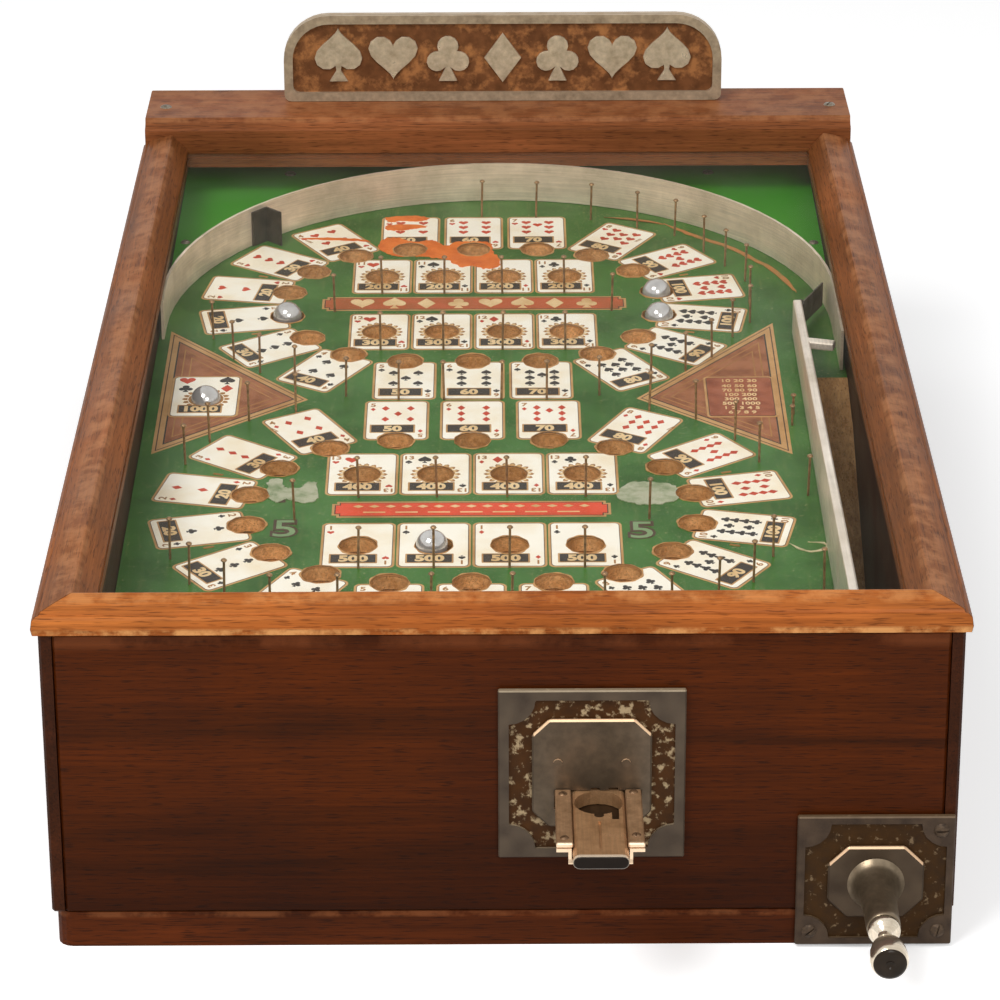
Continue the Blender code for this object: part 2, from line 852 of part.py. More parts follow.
def make_playfield():
    left = -inner_half + playfield_side_gap
    right = inner_half - playfield_side_gap
    face = box(
        "playfield_face", (left, playfield_start, -face_thickness), (right, playfield_end, 0.0),
        green_paint,
    )
    board = box(
        "playfield_board", (left, playfield_start, -playfield_thickness), (right, playfield_end, board_top),
        plain_wood,
    )
    for sheet in (face, board):
        cut(sheet, box(
            "lane slot",
            (divider_right_x + seat_gap, 0.0, -playfield_thickness - cut_overrun),
            (inner_half + cut_overrun, lane_slot_end_y, cut_overrun), None,
        ))
        cut(sheet, hole_cutter(
            pocket_places(), pocket_radius, pocket_segments, -playfield_thickness - cut_overrun,
            cut_overrun,
        ))
    union(face, pins())
    on_playfield(face)
    on_playfield(board)

    # The board lies on a strip along the left wall and one behind the lane on the right
    top = -playfield_thickness - seat_gap
    on_playfield(box(
        "playfield_cleat_left", (-inner_half + seat_gap, playfield_start, top - cleat_height),
        (-inner_half + cleat_width, playfield_end, top), plain_wood,
    ))
    on_playfield(box(
        "playfield_cleat_right", (inner_half - cleat_width, lane_wall_end_y + seat_gap, top - cleat_height),
        (inner_half - seat_gap, playfield_end, top), plain_wood,
    ))


def make_ball(name, place, frame=None):
    shape = bmesh.new()
    bmesh.ops.create_uvsphere(shape, u_segments=ball_segments, v_segments=ball_rings, radius=ball_radius)
    ball = from_bmesh(name, shape, ball_steel, place)
    ball.data.shade_smooth()
    if frame:
        ball.parent = frame


def make_balls():
    rest = shuttle_top + seat_gap + ball_radius
    pockets = pocket_places()
    for number, (pocket, across, along) in enumerate(ball_pocket_shares, 1):
        x, y = pockets[pocket]
        place = (x + across * pocket_radius, y + along * pocket_radius, rest)
        make_ball(f"pocket_ball_{number}", place, playfield_frame)
    tray_rest = -tray_drop + seat_gap + ball_radius
    make_ball("tray_ball", (tray_ball_x, tray_ball_y, tray_rest), playfield_frame)
    y = barrel_start_y + collar_length + barrel_length + seat_gap + ball_radius
    make_ball("lane_ball", (plunger_x, y, ramp_floor_height + seat_gap + ball_radius))


def arch_line(radius):
    """The arch's plan: up the left wall, round the top and down the right wall."""
    points = [(-radius, arch_left_end_y)]
    points += arc((0.0, arch_centre_y), radius, 180, 0, arch_segments)
    points.append((radius, arch_right_end_y))
    return points


def make_arch():
    outer = arch_line(arch_radius)
    inner = arch_line(arch_radius - arch_thickness)
    middle = (seat_gap + arch_height) / 2
    rail = slab(
        "arch_rail", outer + inner[::-1], arch_height - seat_gap, cast_aluminium, None, (0.0, 0.0, middle)
    )
    on_playfield(smooth(rail))

    # A bent plate against the arch that stops a ball at the end of its run
    reach = arch_radius - arch_thickness - seat_gap
    legs = (
        (0.0, 0.0), (-arch_stop_length, 0.0), (-arch_stop_length, arch_stop_thickness),
        (-arch_stop_thickness, arch_stop_thickness), (-arch_stop_thickness, arch_stop_length),
        (0.0, arch_stop_length),
    )
    stop = slab("arch_stop", legs, arch_stop_height, old_steel)
    turn = math.radians(arch_stop_angle)
    chord_drop = arch_stop_length ** 2 / (2 * reach)
    stop.location = (
        (reach - chord_drop) * math.cos(turn), arch_centre_y + (reach - chord_drop) * math.sin(turn),
        arch_stop_height / 2 + seat_gap,
    )
    stop.rotation_euler = (0.0, 0.0, turn)
    on_playfield(stop)


def make_gate():
    """A sprung leaf on an upright pin just behind the divider's end."""
    x = divider_right_x
    y = divider_end_y + gate_back_gap
    on_playfield(rod(
        "gate_pin", gate_pin_radius, (x, y, seat_gap), (x, y, gate_pin_height), old_steel, fine_segments
    ))

    top = gate_lift + gate_height
    leaf = rod(
        "gate_leaf", gate_knuckle_radius, (0.0, 0.0, gate_lift), (0.0, 0.0, top), old_steel, fine_segments
    )
    leaf.data.transform(leaf.matrix_basis)
    leaf.matrix_basis = Matrix.Identity(4)
    union(leaf, box(
        "leaf plate", (gate_knuckle_radius / 2, -gate_thickness / 2, gate_lift),
        (gate_length, gate_thickness / 2, top), None,
    ))
    cut(leaf, rod(
        "bore", gate_pin_radius + seat_gap, (0.0, 0.0, 0.0), (0.0, 0.0, top + cut_overrun), None,
        fine_segments,
    ))
    leaf.location = (x, y, 0.0)
    leaf.rotation_euler = (0.0, 0.0, gate_rest_angle)
    on_playfield(leaf)


def make_lane():
    # The divider's foot follows the playfield and its top is level
    side = [
        (front + playfield_start, surface_height(playfield_start) + seat_gap),
        (front + divider_end_y, surface_height(divider_end_y) + seat_gap),
        (front + divider_end_y, divider_top), (front + playfield_start, divider_top),
    ]
    divider = slab(
        "lane_divider", side, divider_thickness, cast_aluminium, along_x,
        (divider_left_x + divider_thickness / 2, 0.0, 0.0),
    )
    bar = box(
        "crossbar", (-divider_thickness / 2, -crossbar_width / 2, -crossbar_height / 2),
        (crossbar_length, crossbar_width / 2, crossbar_height / 2), None,
    )
    bar.rotation_euler = (0.0, 0.0, crossbar_turn)
    bar.location = (
        divider_right_x + (crossbar_length - divider_thickness) / 2, front + crossbar_y,
        divider_top - crossbar_height / 2,
    )
    union(divider, bar)
    round_edges(divider, divider_bevel, 2)

    wall_start = front_thickness + seat_gap
    under = playfield_thickness / math.cos(playfield_tilt) + seat_gap
    outline = [
        (front + wall_start, wall_foot), (front + lane_wall_end_y, wall_foot),
        (front + lane_wall_end_y, surface_height(lane_wall_end_y) - under),
        (front + wall_start, surface_height(wall_start) - under),
    ]
    wall = slab(
        "lane_wall", outline, lane_wall_thickness, plain_wood, along_x,
        (lane_wall_left_x + lane_wall_thickness / 2, 0.0, 0.0),
    )
    outlet_foot = surface_height(outlet_front_y) - tray_drop
    cut(wall, box(
        "outlet", (lane_wall_left_x - cut_overrun, front + outlet_front_y, outlet_foot),
        (lane_wall_right_x + cut_overrun, front + outlet_back_y, outlet_foot + outlet_height), None,
    ))

    # The runway is level under the plunger, then sweeps up, and a narrower lip ends it at the playfield
    ramp_left = lane_wall_right_x + seat_gap
    ramp_right = inner_half - seat_gap
    lip_start = lane_slot_end_y - lip_length
    ramp_top = surface_height(lane_slot_end_y) - ramp_end_drop
    ease = 1 - ramp_bend_share / 2
    curve = []
    for i in range(ramp_steps + 1):
        share = i / ramp_steps
        if share < ramp_bend_share:
            rise = share * share / (2 * ramp_bend_share * ease)
        else:
            rise = (share - ramp_bend_share / 2) / ease
        curve.append((
            front + ramp_flat_end_y + (lip_start - ramp_flat_end_y) * share,
            ramp_floor_height + (ramp_top - ramp_floor_height) * rise,
        ))
    outline = [(front + wall_start, wall_foot), (front + lip_start, wall_foot)]
    outline += curve[::-1] + [(front + wall_start, ramp_floor_height)]
    ramp = slab(
        "lane_ramp", outline, ramp_right - ramp_left, plain_wood, along_x,
        ((ramp_left + ramp_right) / 2, 0.0, 0.0),
    )
    lip_left = divider_right_x + seat_gap
    lip_end = front + lane_slot_end_y * math.cos(playfield_tilt) - seat_gap
    outline = [
        (front + lip_start - lip_depth, ramp_top - lip_depth), (lip_end, ramp_top),
        (lip_end, surface_height(lane_slot_end_y)), (front + lip_start, ramp_top),
    ]
    lip = slab(
        "lip", outline, ramp_right - lip_left - seat_gap, None, along_x,
        ((lip_left + ramp_right) / 2, 0.0, 0.0),
    )
    union(ramp, lip)


def make_shuttle():
    board = box(
        "shuttle_board", (shuttle_left_x, shuttle_front_y, shuttle_foot),
        (shuttle_right_x, shuttle_back_y, shuttle_top), plain_wood,
    )
    places = [(x, y - shuttle_travel) for x, y in pocket_places()]
    cut(board, hole_cutter(
        places, shuttle_hole_radius, shuttle_hole_segments, shuttle_foot - cut_overrun,
        shuttle_top + cut_overrun,
    ))
    grip = shuttle_foot + shuttle_thickness / 2
    union(board, box(
        "striker", (chute_x - striker_width / 2, striker_y, -striker_drop),
        (chute_x + striker_width / 2, striker_y + striker_thickness, grip), None,
    ))
    union(board, box(
        "spring lug", (lug_x - lug_width / 2, striker_y, -lug_drop - lug_height / 2),
        (chute_x, striker_y + striker_thickness, -lug_drop + lug_height / 2), None,
    ))
    on_playfield(board)

    top = -playfield_thickness - seat_gap
    for side, edge, name in (
        (-1, shuttle_left_x, "shuttle_runner_left"), (1, shuttle_right_x, "shuttle_runner_right")
    ):
        outer = edge + side * (slide_gap + runner_width)
        near = edge + side * slide_gap
        under = shuttle_foot - slide_gap
        section = [
            (outer, top), (outer, under - runner_foot), (edge - side * runner_lip, under - runner_foot),
            (edge - side * runner_lip, under), (near, under), (near, top),
        ]
        length = shuttle_back_y + shuttle_travel - shuttle_front_y
        on_playfield(slab(
            name, section, length, plain_wood, facing_front, (0.0, shuttle_front_y + length / 2, 0.0)
        ))


def make_tray():
    line = [(tray_left_x, tray_left_front_y), (tray_corner_x, tray_corner_y), (tray_right_x, tray_front_y)]
    outline = line + [(tray_right_x, tray_back_y), (tray_left_x, tray_back_y)]
    tray = slab(
        "ball_tray", outline, tray_thickness, plain_wood, None, (0.0, 0.0, -tray_drop - tray_thickness / 2)
    )
    inner = [
        (tray_right_x, tray_front_y + outlet_fence_depth),
        (tray_corner_x + (outlet_fence_depth - fence_depth) / 2, tray_corner_y + fence_depth),
        (tray_left_x, tray_left_front_y + fence_depth),
    ]
    low = -tray_drop - tray_thickness / 2
    high = -tray_drop + fence_height
    union(tray, slab("fence", line + inner, high - low, None, None, (0.0, 0.0, (low + high) / 2)))
    on_playfield(tray)

    top = -tray_drop - tray_thickness - seat_gap
    for name, left, right, start, end in (
        ("tray_cleat_left", -inner_half + seat_gap, -inner_half + tray_cleat_width, tray_cleat_front_y,
         tray_back_y),
        ("tray_cleat_right", lane_wall_left_x - tray_cleat_width, lane_wall_left_x - seat_gap,
         tray_corner_y, lane_wall_end_y),
    ):
        on_playfield(box(name, (left, start, top - tray_cleat_height), (right, end, top), plain_wood))


def face_plate(name, x, z, width, height, rim, scoop):
    """A cast plate on the cabinet's front, with a recess that leaves a rim and corner pads."""
    plate = slab(
        name, rectangle(width, height), plate_thickness, old_steel, facing_front,
        (x, plate_face_y + plate_thickness / 2, z),
    )
    round_edges(plate, plate_edge_bevel)
    apply_modifiers(plate)
    return cut(plate, slab(
        "recess", scooped_rectangle(width - 2 * rim, height - 2 * rim, scoop), 2 * plate_recess,
        None, facing_front, (x, plate_face_y, z),
    ))


def face_panel(name, x, z, width, height, chamfer):
    """An eight-sided panel that stands in a plate's recess."""
    panel = slab(
        name, octagon(width, height, chamfer), panel_thickness, old_steel, facing_front,
        (x, (panel_back_y + panel_face_y) / 2, z),
    )
    round_edges(panel, panel_edge_bevel)
    return apply_modifiers(panel)


def make_coin_gear():
    cut(face_plate(
        "coin_plate", coin_plate_x, coin_plate_z, coin_plate_size, coin_plate_size, coin_plate_rim,
        plate_scoop,
    ), chute_hole())
    panel_z = coin_plate_z + coin_panel_rise
    panel = cut(face_panel(
        "coin_panel", coin_plate_x, panel_z, coin_panel_size, coin_panel_size, coin_panel_chamfer
    ), chute_hole())
    for side in (-1, 1):
        x = coin_plate_x + side * rivet_spacing / 2
        union(panel, rod(
            "rivet", rivet_radius, (x, panel_face_y - rivet_height, panel_z + rivet_rise),
            (x, panel_face_y + panel_thickness / 2, panel_z + rivet_rise), None, fine_segments,
        ))
    for share in panel_slot_shares:
        x = chute_x + share * slide_half_width
        cut(panel, box(
            "slot", (x - panel_slot_width / 2, panel_face_y - cut_overrun, slide_top),
            (x + panel_slot_width / 2, panel_back_y + cut_overrun, slide_top + panel_slot_height), None,
        ))

    # The chute is a channel for the slide with a wing on each side under its guide, and a hole in its
    # floor over the cash box
    floor = chute_floor_z - chute_floor_thickness
    bore = slide_half_width + slide_gap
    wall = bore + chute_wall
    wing = chute_top_z - chute_wing_thickness
    section = [
        (-wall, floor), (wall, floor), (wall, wing), (chute_half_width, wing),
        (chute_half_width, chute_top_z), (bore, chute_top_z), (bore, chute_floor_z),
        (-bore, chute_floor_z), (-bore, chute_top_z), (-chute_half_width, chute_top_z),
        (-chute_half_width, wing), (-wall, wing),
    ]
    length = chute_reach + chute_inner_length
    chute = slab(
        "coin_chute", section, length, nickel, facing_front,
        (chute_x, front - chute_reach + length / 2, 0.0),
    )
    opening = coin_radius + coin_drop_margin
    middle = front - coin_pocket_y + slide_travel
    cut(chute, box(
        "coin drop", (chute_x - opening, middle - opening, floor - cut_overrun),
        (chute_x + opening, middle + opening, chute_floor_z + seat_gap), None,
    ))
    for side, name in ((-1, "coin_guide_left"), (1, "coin_guide_right")):
        edges = sorted((chute_x + side * (bore - guide_overhang), chute_x + side * chute_half_width))
        box(
            name, (edges[0], front - chute_reach, chute_top_z + seat_gap),
            (edges[1], panel_face_y - seat_gap, chute_top_z + seat_gap + guide_thickness), nickel, guide_edge,
        )

    # The slide: a round-sided tongue with the coin's pocket through it and a pin for its spring
    low = chute_floor_z + slide_gap
    length = slide_reach + slide_tail_y
    slide = slab(
        "coin_slide",
        rounded_rectangle(-slide_half_width, low, slide_half_width, slide_top, slide_side_round), length,
        nickel, facing_front, (chute_x, front - slide_reach + length / 2, 0.0),
    )
    apply_modifiers(round_edges(slide, slide_end_bevel))
    pocket_y = front - coin_pocket_y
    pocket_front = pocket_y - coin_radius
    notch_y = pocket_front - slide_notch_radius / 4
    for name, radius, y, foot in (
        ("coin pocket", coin_radius, pocket_y, low - cut_overrun),
        ("notch", slide_notch_radius, notch_y, low + slide_groove_depth),
    ):
        cut(slide, rod(
            name, radius, (chute_x, y, foot), (chute_x, y, slide_top + cut_overrun), None, round_segments
        ))
    for name, x, width, start, end, foot in (
        ("groove", chute_x, slide_groove_width, front - slide_reach + slide_groove_front,
         pocket_front - slide_groove_back, slide_top - slide_groove_depth),
        ("slot", chute_x + slide_slot_x, slide_slot_width, pocket_front - slide_slot_length, pocket_y,
         low + slide_groove_depth),
    ):
        cut(slide, box(
            name, (x - width / 2, start, foot), (x + width / 2, end, slide_top + cut_overrun), None
        ))
    pin_y = front + slide_tail_y - cross_pin_inset
    union(slide, rod(
        "cross pin", cross_pin_radius, (chute_x, pin_y, slide_spring_z),
        (chute_x + cross_pin_reach, pin_y, slide_spring_z), None, fine_segments,
    ))
    carried(slide, slide_frame)

    left = cash_box_x - cash_box_width / 2
    start = inner_front + cash_box_front_gap
    cash_box = box(
        "cash_box", (left, start, wall_foot),
        (left + cash_box_width, start + cash_box_depth, wall_foot + cash_box_height), old_steel,
    )
    cut(cash_box, box(
        "inside", (left + cash_box_wall, start + cash_box_wall, wall_foot + cash_box_wall),
        (left + cash_box_width - cash_box_wall, start + cash_box_depth - cash_box_wall,
         wall_foot + cash_box_height + cut_overrun), None,
    ))


def make_plunger():
    bore = rod_radius + rod_clearance
    axis = (plunger_x, 0.0, plunger_z)
    for piece in (
        face_plate(
            "plunger_plate", plunger_plate_x, plunger_plate_z, plunger_plate_width, plunger_plate_height,
            plunger_plate_rim, plunger_plate_scoop,
        ),
        face_panel(
            "plunger_panel", plunger_x, plunger_panel_z, plunger_panel_width, plunger_panel_height,
            plunger_panel_chamfer,
        ),
    ):
        cut(piece, rod(
            "bore", bore, (plunger_x, panel_face_y - cut_overrun, plunger_z), (plunger_x, front, plunger_z),
            None, round_segments,
        ))

    # Along the axis, a turned piece's profile runs from the front backwards
    profile = [
        (wide * sleeve_radius, -sleeve_end_y - share * sleeve_length) for wide, share in sleeve_shares
    ]
    profile += [(bore, -sleeve_foot_y), (bore, -sleeve_end_y)]
    turned("plunger_sleeve", profile, old_steel, axis)

    bush_front = inner_front + seat_gap
    bush_back = inner_front + bush_length
    profile = [
        (bush_radius, -bush_front), (bush_radius, -bush_back), (bore, -bush_back), (bore, -bush_front),
    ]
    turned("plunger_bush", profile, brass, axis)

    collar_back = barrel_start_y + collar_length
    barrel_back = collar_back + barrel_length
    tang_front = knob_back_y - knob_tang_length
    rod_front = knob_back_y + seat_gap
    profile = [
        (0.0, -tang_front), (knob_tang_radius, -tang_front), (knob_tang_radius, -rod_front),
        (rod_radius, -rod_front), (rod_radius, -barrel_start_y), (collar_radius, -barrel_start_y),
        (collar_radius, -collar_back), (barrel_radius, -collar_back), (barrel_radius, -barrel_back),
        (0.0, -barrel_back),
    ]
    turned("plunger_rod", profile, nickel, axis)

    knob_front = knob_back_y - knob_length
    tang_bore = knob_tang_radius + rod_clearance
    socket = tang_front - seat_gap
    profile = [(0.0, -knob_front - knob_dimple_depth), (knob_dimple_radius, -knob_front)]
    profile += [(wide * knob_radius, -knob_front - share * knob_length) for wide, share in knob_shares]
    profile += [(tang_bore, -knob_back_y), (tang_bore, -socket), (0.0, -socket)]
    turned("plunger_knob", profile, chrome, axis)


def make_spring(name, start, end, radius, wire, curls):
    """A round-wire spring along Y, as a curve with a round section, and the least gap between its curls."""
    x, z = start[0], start[2]
    first = start[1] + wire
    length = end - wire - first
    steps = curls * curl_points
    points = []
    for i in range(steps + 1):
        turn = 2 * math.pi * i / curl_points
        points.append(Vector((
            x + radius * math.cos(turn), first + length * i / steps, z + radius * math.sin(turn)
        )))
    curve = bpy.data.curves.new(name, "CURVE")
    curve.dimensions = "3D"
    curve.bevel_depth = wire
    curve.bevel_resolution = 1
    curve.use_fill_caps = True
    line = curve.splines.new("POLY")
    line.points.add(steps)
    for point, place in zip(line.points, points):
        point.co = (*place, 1.0)
    spring = bpy.data.objects.new(name, curve)
    link(spring, nickel)
    apart = min(
        (a - b).length
        for i, a in enumerate(points)
        for b in points[i + curl_points // 2:i + 2 * curl_points]
    )
    print(f"{name}: least gap to itself {(apart - 2 * wire) * 1000:.2f} mm")


def make_springs():
    make_spring(
        "plunger_spring", (plunger_x, inner_front + bush_length + seat_gap, plunger_z),
        barrel_start_y - seat_gap, plunger_spring_radius, plunger_spring_wire, plunger_spring_curls,
    )
    make_spring(
        "slide_spring", (chute_x + slide_spring_reach, inner_front + seat_gap, slide_spring_z),
        front + slide_tail_y - cross_pin_inset - cross_pin_radius - seat_gap, return_spring_radius,
        return_spring_wire, slide_spring_curls,
    )
    lug_y, lug_z = lug_place()
    make_spring(
        "shuttle_spring", (lug_x, inner_front + seat_gap, lug_z), lug_y - slide_gap - seat_gap,
        return_spring_radius, return_spring_wire, shuttle_spring_curls,
    )


def mitre(rail, side, towards):
    """Cuts a rail's end at the frame's front corner on one side, along the corner's diagonal."""
    reach = mitre_block / 2
    out = Vector((side, 1.0, 0.0)).normalized()
    corner = Vector((side * (half_width + frame_overhang), front - frame_overhang, frame_foot))
    cutter = box("mitre", (-reach, -reach, -reach), (reach, reach, reach), None)
    cutter.location = corner + out * towards * (mitre_block - mitre_gap) / 2
    cutter.rotation_euler = (0.0, 0.0, math.pi / 4)
    cut(rail, cutter)


def frame_section():
    """The frame's section: distances in from its outer edge, and up from the walls' tops."""
    groove = frame_width - groove_depth
    inside = frame_overhang + side_thickness + tongue_gap
    return [(across * frame_width, up * frame_rise) for across, up in moulding_shares] + [
        (frame_width, groove_top), (groove, groove_top), (groove, -groove_foot),
        (frame_width, -groove_foot), (frame_width, -tongue_drop), (inside, -tongue_drop), (inside, 0.0),
    ]


def make_lid():
    outer = half_width + frame_overhang
    section = [(front - frame_overhang + across, frame_foot + up) for across, up in frame_section()]
    rail = slab("front_rail", section, 2 * outer, walnut, along_x)
    for side in (-1, 1):
        mitre(rail, side, 1)
    carried(smooth(rail), lid_frame)

    start = front - frame_overhang
    end = frame_end - seat_gap
    for side, name in ((-1, "left_rail"), (1, "right_rail")):
        section = [(side * (outer - across), frame_foot + up) for across, up in frame_section()]
        rail = slab(name, section, end - start, walnut, facing_front, (0.0, (start + end) / 2, 0.0))
        mitre(rail, side, -1)
        carried(smooth(rail), lid_frame)

    # The back board: a shaped board with a grooved tongue under its front edge
    section = [
        (frame_end + along * back_board_depth, frame_foot + up * back_board_rise)
        for along, up in back_board_shares
    ]
    half = outer - back_board_end_inset
    board = slab("back_board", section, 2 * half, mahogany, along_x)
    ends = rounded_rectangle(
        -half, frame_end - back_board_end_radius * 2, half, back, back_board_end_radius
    )
    combine(board, slab(
        "ends", ends, 2 * back_board_rise + cut_overrun, None, None,
        (0.0, 0.0, frame_foot + back_board_rise / 2),
    ), "INTERSECT")
    union(board, box(
        "tongue", (-back_tongue_half_width, frame_end, frame_foot - tongue_drop),
        (back_tongue_half_width, frame_end + back_tongue_depth, frame_foot + groove_top), None,
    ))
    cut(board, box(
        "groove", (-outer, frame_end - cut_overrun, frame_foot - groove_foot),
        (outer, frame_end + groove_depth, frame_foot + groove_top), None,
    ))
    carried(smooth(board), lid_frame)

    inset = glass_inset - frame_overhang
    carried(box(
        "glass", (-half_width + inset, front + inset, frame_foot + glass_top - glass_thickness),
        (half_width - inset, frame_end + groove_depth - seat_gap, frame_foot + glass_top), clear_glass,
    ), lid_frame)


def header_outline(inset):
    left = -header_width / 2 + inset
    right = header_width / 2 - inset
    low = inset
    high = header_height - inset
    foot = header_foot_radius
    crown = header_corner_radius - inset
    return (
        arc((left + foot, low + foot), foot, 180, 270, header_foot_steps)
        + arc((right - foot, low + foot), foot, 270, 360, header_foot_steps)
        + arc((right - crown, high - crown), crown, 0, 90, header_crown_steps)
        + arc((left + crown, high - crown), crown, 90, 180, header_crown_steps)
    )


def make_header():
    y = back - header_inset
    foot = frame_foot + back_board_rise + seat_gap
    plate = slab(
        "header_plate", header_outline(0.0), header_thickness, cast_aluminium, facing_front,
        (header_x, y, foot),
    )
    face = y - header_thickness / 2
    cut(plate, slab(
        "recess", header_outline(header_rim), 2 * header_recess, None, facing_front,
        (header_x, face, foot),
    ))
    for side in (-1, 1):
        x = header_x + side * header_lug_spacing / 2
        union(plate, box(
            "lug", (x - header_lug_width / 2, y, foot),
            (x + header_lug_width / 2, y + header_thickness / 2 + header_lug_depth,
             foot + header_lug_thickness), None,
        ))
    carried(smooth(plate), lid_frame)


def make_hinge():
    """A long butt hinge on the back faces: two leaves with knuckles in turn, on one pin."""
    left = -hinge_length / 2
    pitch = hinge_length / hinge_knuckles
    for parity, name, towards in ((0, "hinge_leaf_lower", -1), (1, "hinge_leaf_upper", 1)):
        heights = sorted((hinge_z + towards * seat_gap, hinge_z + towards * hinge_leaf_height))
        leaf = box(
            name, (left, back + seat_gap, heights[0]),
            (left + hinge_length, back + seat_gap + hinge_leaf_thickness, heights[1]), old_steel,
        )
        own = []
        others = []
        for i in range(hinge_knuckles):
            start = left + pitch * i
            if i % 2 == parity:
                own.append(rod(
                    "knuckle", hinge_barrel_radius, (start + hinge_knuckle_gap, hinge_y, hinge_z),
                    (start + pitch - hinge_knuckle_gap, hinge_y, hinge_z), None, hinge_segments,
                ))
            else:
                others.append(rod(
                    "clearance", hinge_barrel_radius + hinge_knuckle_gap,
                    (start - hinge_knuckle_gap, hinge_y, hinge_z),
                    (start + pitch + hinge_knuckle_gap, hinge_y, hinge_z), None, hinge_segments,
                ))
        cut(leaf, gathered(others))
        union(leaf, gathered(own))
        cut(leaf, rod(
            "bore", hinge_pin_radius + seat_gap, (left - cut_overrun, hinge_y, hinge_z),
            (left + hinge_length + cut_overrun, hinge_y, hinge_z), None, hinge_segments,
        ))
        if towards > 0:
            carried(leaf, lid_frame)
    rod(
        "hinge_pin", hinge_pin_radius, (left, hinge_y, hinge_z), (left + hinge_length, hinge_y, hinge_z),
        old_steel,
    )


make_cabinet()
make_playfield()
make_balls()
make_arch()
make_gate()
make_lane()
make_shuttle()
make_tray()
make_coin_gear()
make_plunger()
make_springs()
make_lid()
make_header()
make_hinge()
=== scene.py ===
# %% [markdown]
# # Dressing a countertop pin game
# The solids of the machine come packed as a fixed frame: every board, plate and rod is already in
# place, in metres, standing on z = 0 with its front towards -Y. This lesson gives them wood, metal,
# paint and glass, prints the playfield, and adds the small things, such as pins and screws.

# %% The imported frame
import math
import random

import bmesh
import bpy
from mathutils import Matrix, Vector


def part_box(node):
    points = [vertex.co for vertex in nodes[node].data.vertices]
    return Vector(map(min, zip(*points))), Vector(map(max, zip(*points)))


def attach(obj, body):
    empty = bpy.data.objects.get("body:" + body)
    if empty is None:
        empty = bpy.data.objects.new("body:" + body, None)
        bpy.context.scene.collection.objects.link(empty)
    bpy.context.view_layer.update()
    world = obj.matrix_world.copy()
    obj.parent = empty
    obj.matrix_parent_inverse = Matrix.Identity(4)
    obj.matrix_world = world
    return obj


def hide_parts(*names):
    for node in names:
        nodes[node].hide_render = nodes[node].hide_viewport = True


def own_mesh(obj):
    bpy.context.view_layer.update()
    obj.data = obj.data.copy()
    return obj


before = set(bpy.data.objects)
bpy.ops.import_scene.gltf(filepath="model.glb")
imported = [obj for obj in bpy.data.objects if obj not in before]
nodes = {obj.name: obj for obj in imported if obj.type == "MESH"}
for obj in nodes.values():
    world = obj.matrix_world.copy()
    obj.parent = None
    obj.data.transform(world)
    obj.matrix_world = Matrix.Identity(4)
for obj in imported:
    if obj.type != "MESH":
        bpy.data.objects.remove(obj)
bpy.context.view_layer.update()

# %% [markdown]
# ## The camera
# The machine was photographed from the front with a long lens, about two metres away and looking
# down by 24 degrees. A long lens keeps the box's sides nearly parallel.

# %% Camera
camera = bpy.data.objects.new("camera", bpy.data.cameras.new("camera"))
camera.data.lens = 147.955
camera.data.sensor_width = 36.0
camera.location = (-0.003639, -1.978123, 0.928285)
camera.rotation_euler = [math.radians(angle) for angle in (66.4321, 0.17657, -0.18140)]
bpy.context.scene.collection.objects.link(camera)
bpy.context.scene.camera = camera
print("camera at", [round(v, 3) for v in camera.location])

# %% [markdown]
# ## Nodes and colours
# A material here is a small tree of nodes. One function adds a node, fills in its settings and joins
# its inputs, where a node stands for its first live output. Colours are written as sRGB hex, as a
# paint chart gives them, and turned to the linear values that the renderer counts in. Patterns are
# sized in millimetres.

# %% Helpers for materials
mm = 0.001


def srgb(code):
    """A hex colour as linear red, green, blue and alpha."""
    parts = [int(code[i:i + 2], 16) / 255 for i in (1, 3, 5)]
    linear = [p / 12.92 if p <= 0.04045 else ((p + 0.055) / 1.055) ** 2.4 for p in parts]
    return (*linear, 1.0)


def join(tree, node, links):
    """Joins a node's inputs to other nodes, at their first live output, or to an output that is named."""
    for name, source in links.items():
        if isinstance(source, bpy.types.Node):
            source = next(out for out in source.outputs if out.enabled)
        tree.links.new(source, node.inputs[name])


def add(tree, kind, settings=None, links=None):
    """Adds one node, gives it its settings and joins its inputs."""
    node = tree.nodes.new("ShaderNode" + kind)
    for name, value in (settings or {}).items():
        if isinstance(name, str) and hasattr(node, name):
            setattr(node, name, value)
        else:
            node.inputs[name].default_value = value
    join(tree, node, links or {})
    return node


def finish(name, roughness=0.5, metallic=0.0):
    """An empty finish: its material, its tree, its shader and the place on the object in metres."""
    made = bpy.data.materials.new(name)
    made.use_nodes = True
    tree = made.node_tree
    shader = tree.nodes["Principled BSDF"]
    shader.inputs["Roughness"].default_value = roughness
    shader.inputs["Metallic"].default_value = metallic
    return made, tree, shader, add(tree, "TexCoord").outputs["Object"]


def per(*sizes):
    """Scales, in repeats a metre, of a pattern whose features have these sizes in millimetres."""
    return tuple(1000.0 / size for size in sizes)


print("a mid grey is", [round(v, 3) for v in srgb("#808080")][:3])

# %% [markdown]
# ## Light and floor
# A soft studio: an even pale surround and two large soft lamps. The lamps are kept at a level where a
# colour renders about as it was mixed. The floor is white to the camera and in reflections, and still
# takes the object's shadow.

# %% Surround, lamps and floor
def seen_sharply(tree):
    """1 to the camera, in reflections and through glass, and 0 for the light that falls on things."""
    seen = add(tree, "LightPath")
    direct = add(tree, "Math", {"operation": "MAXIMUM"},
                 {0: seen.outputs["Is Camera Ray"], 1: seen.outputs["Is Glossy Ray"]})
    return add(tree, "Math", {"operation": "MAXIMUM"}, {0: direct, 1: seen.outputs["Is Transmission Ray"]})


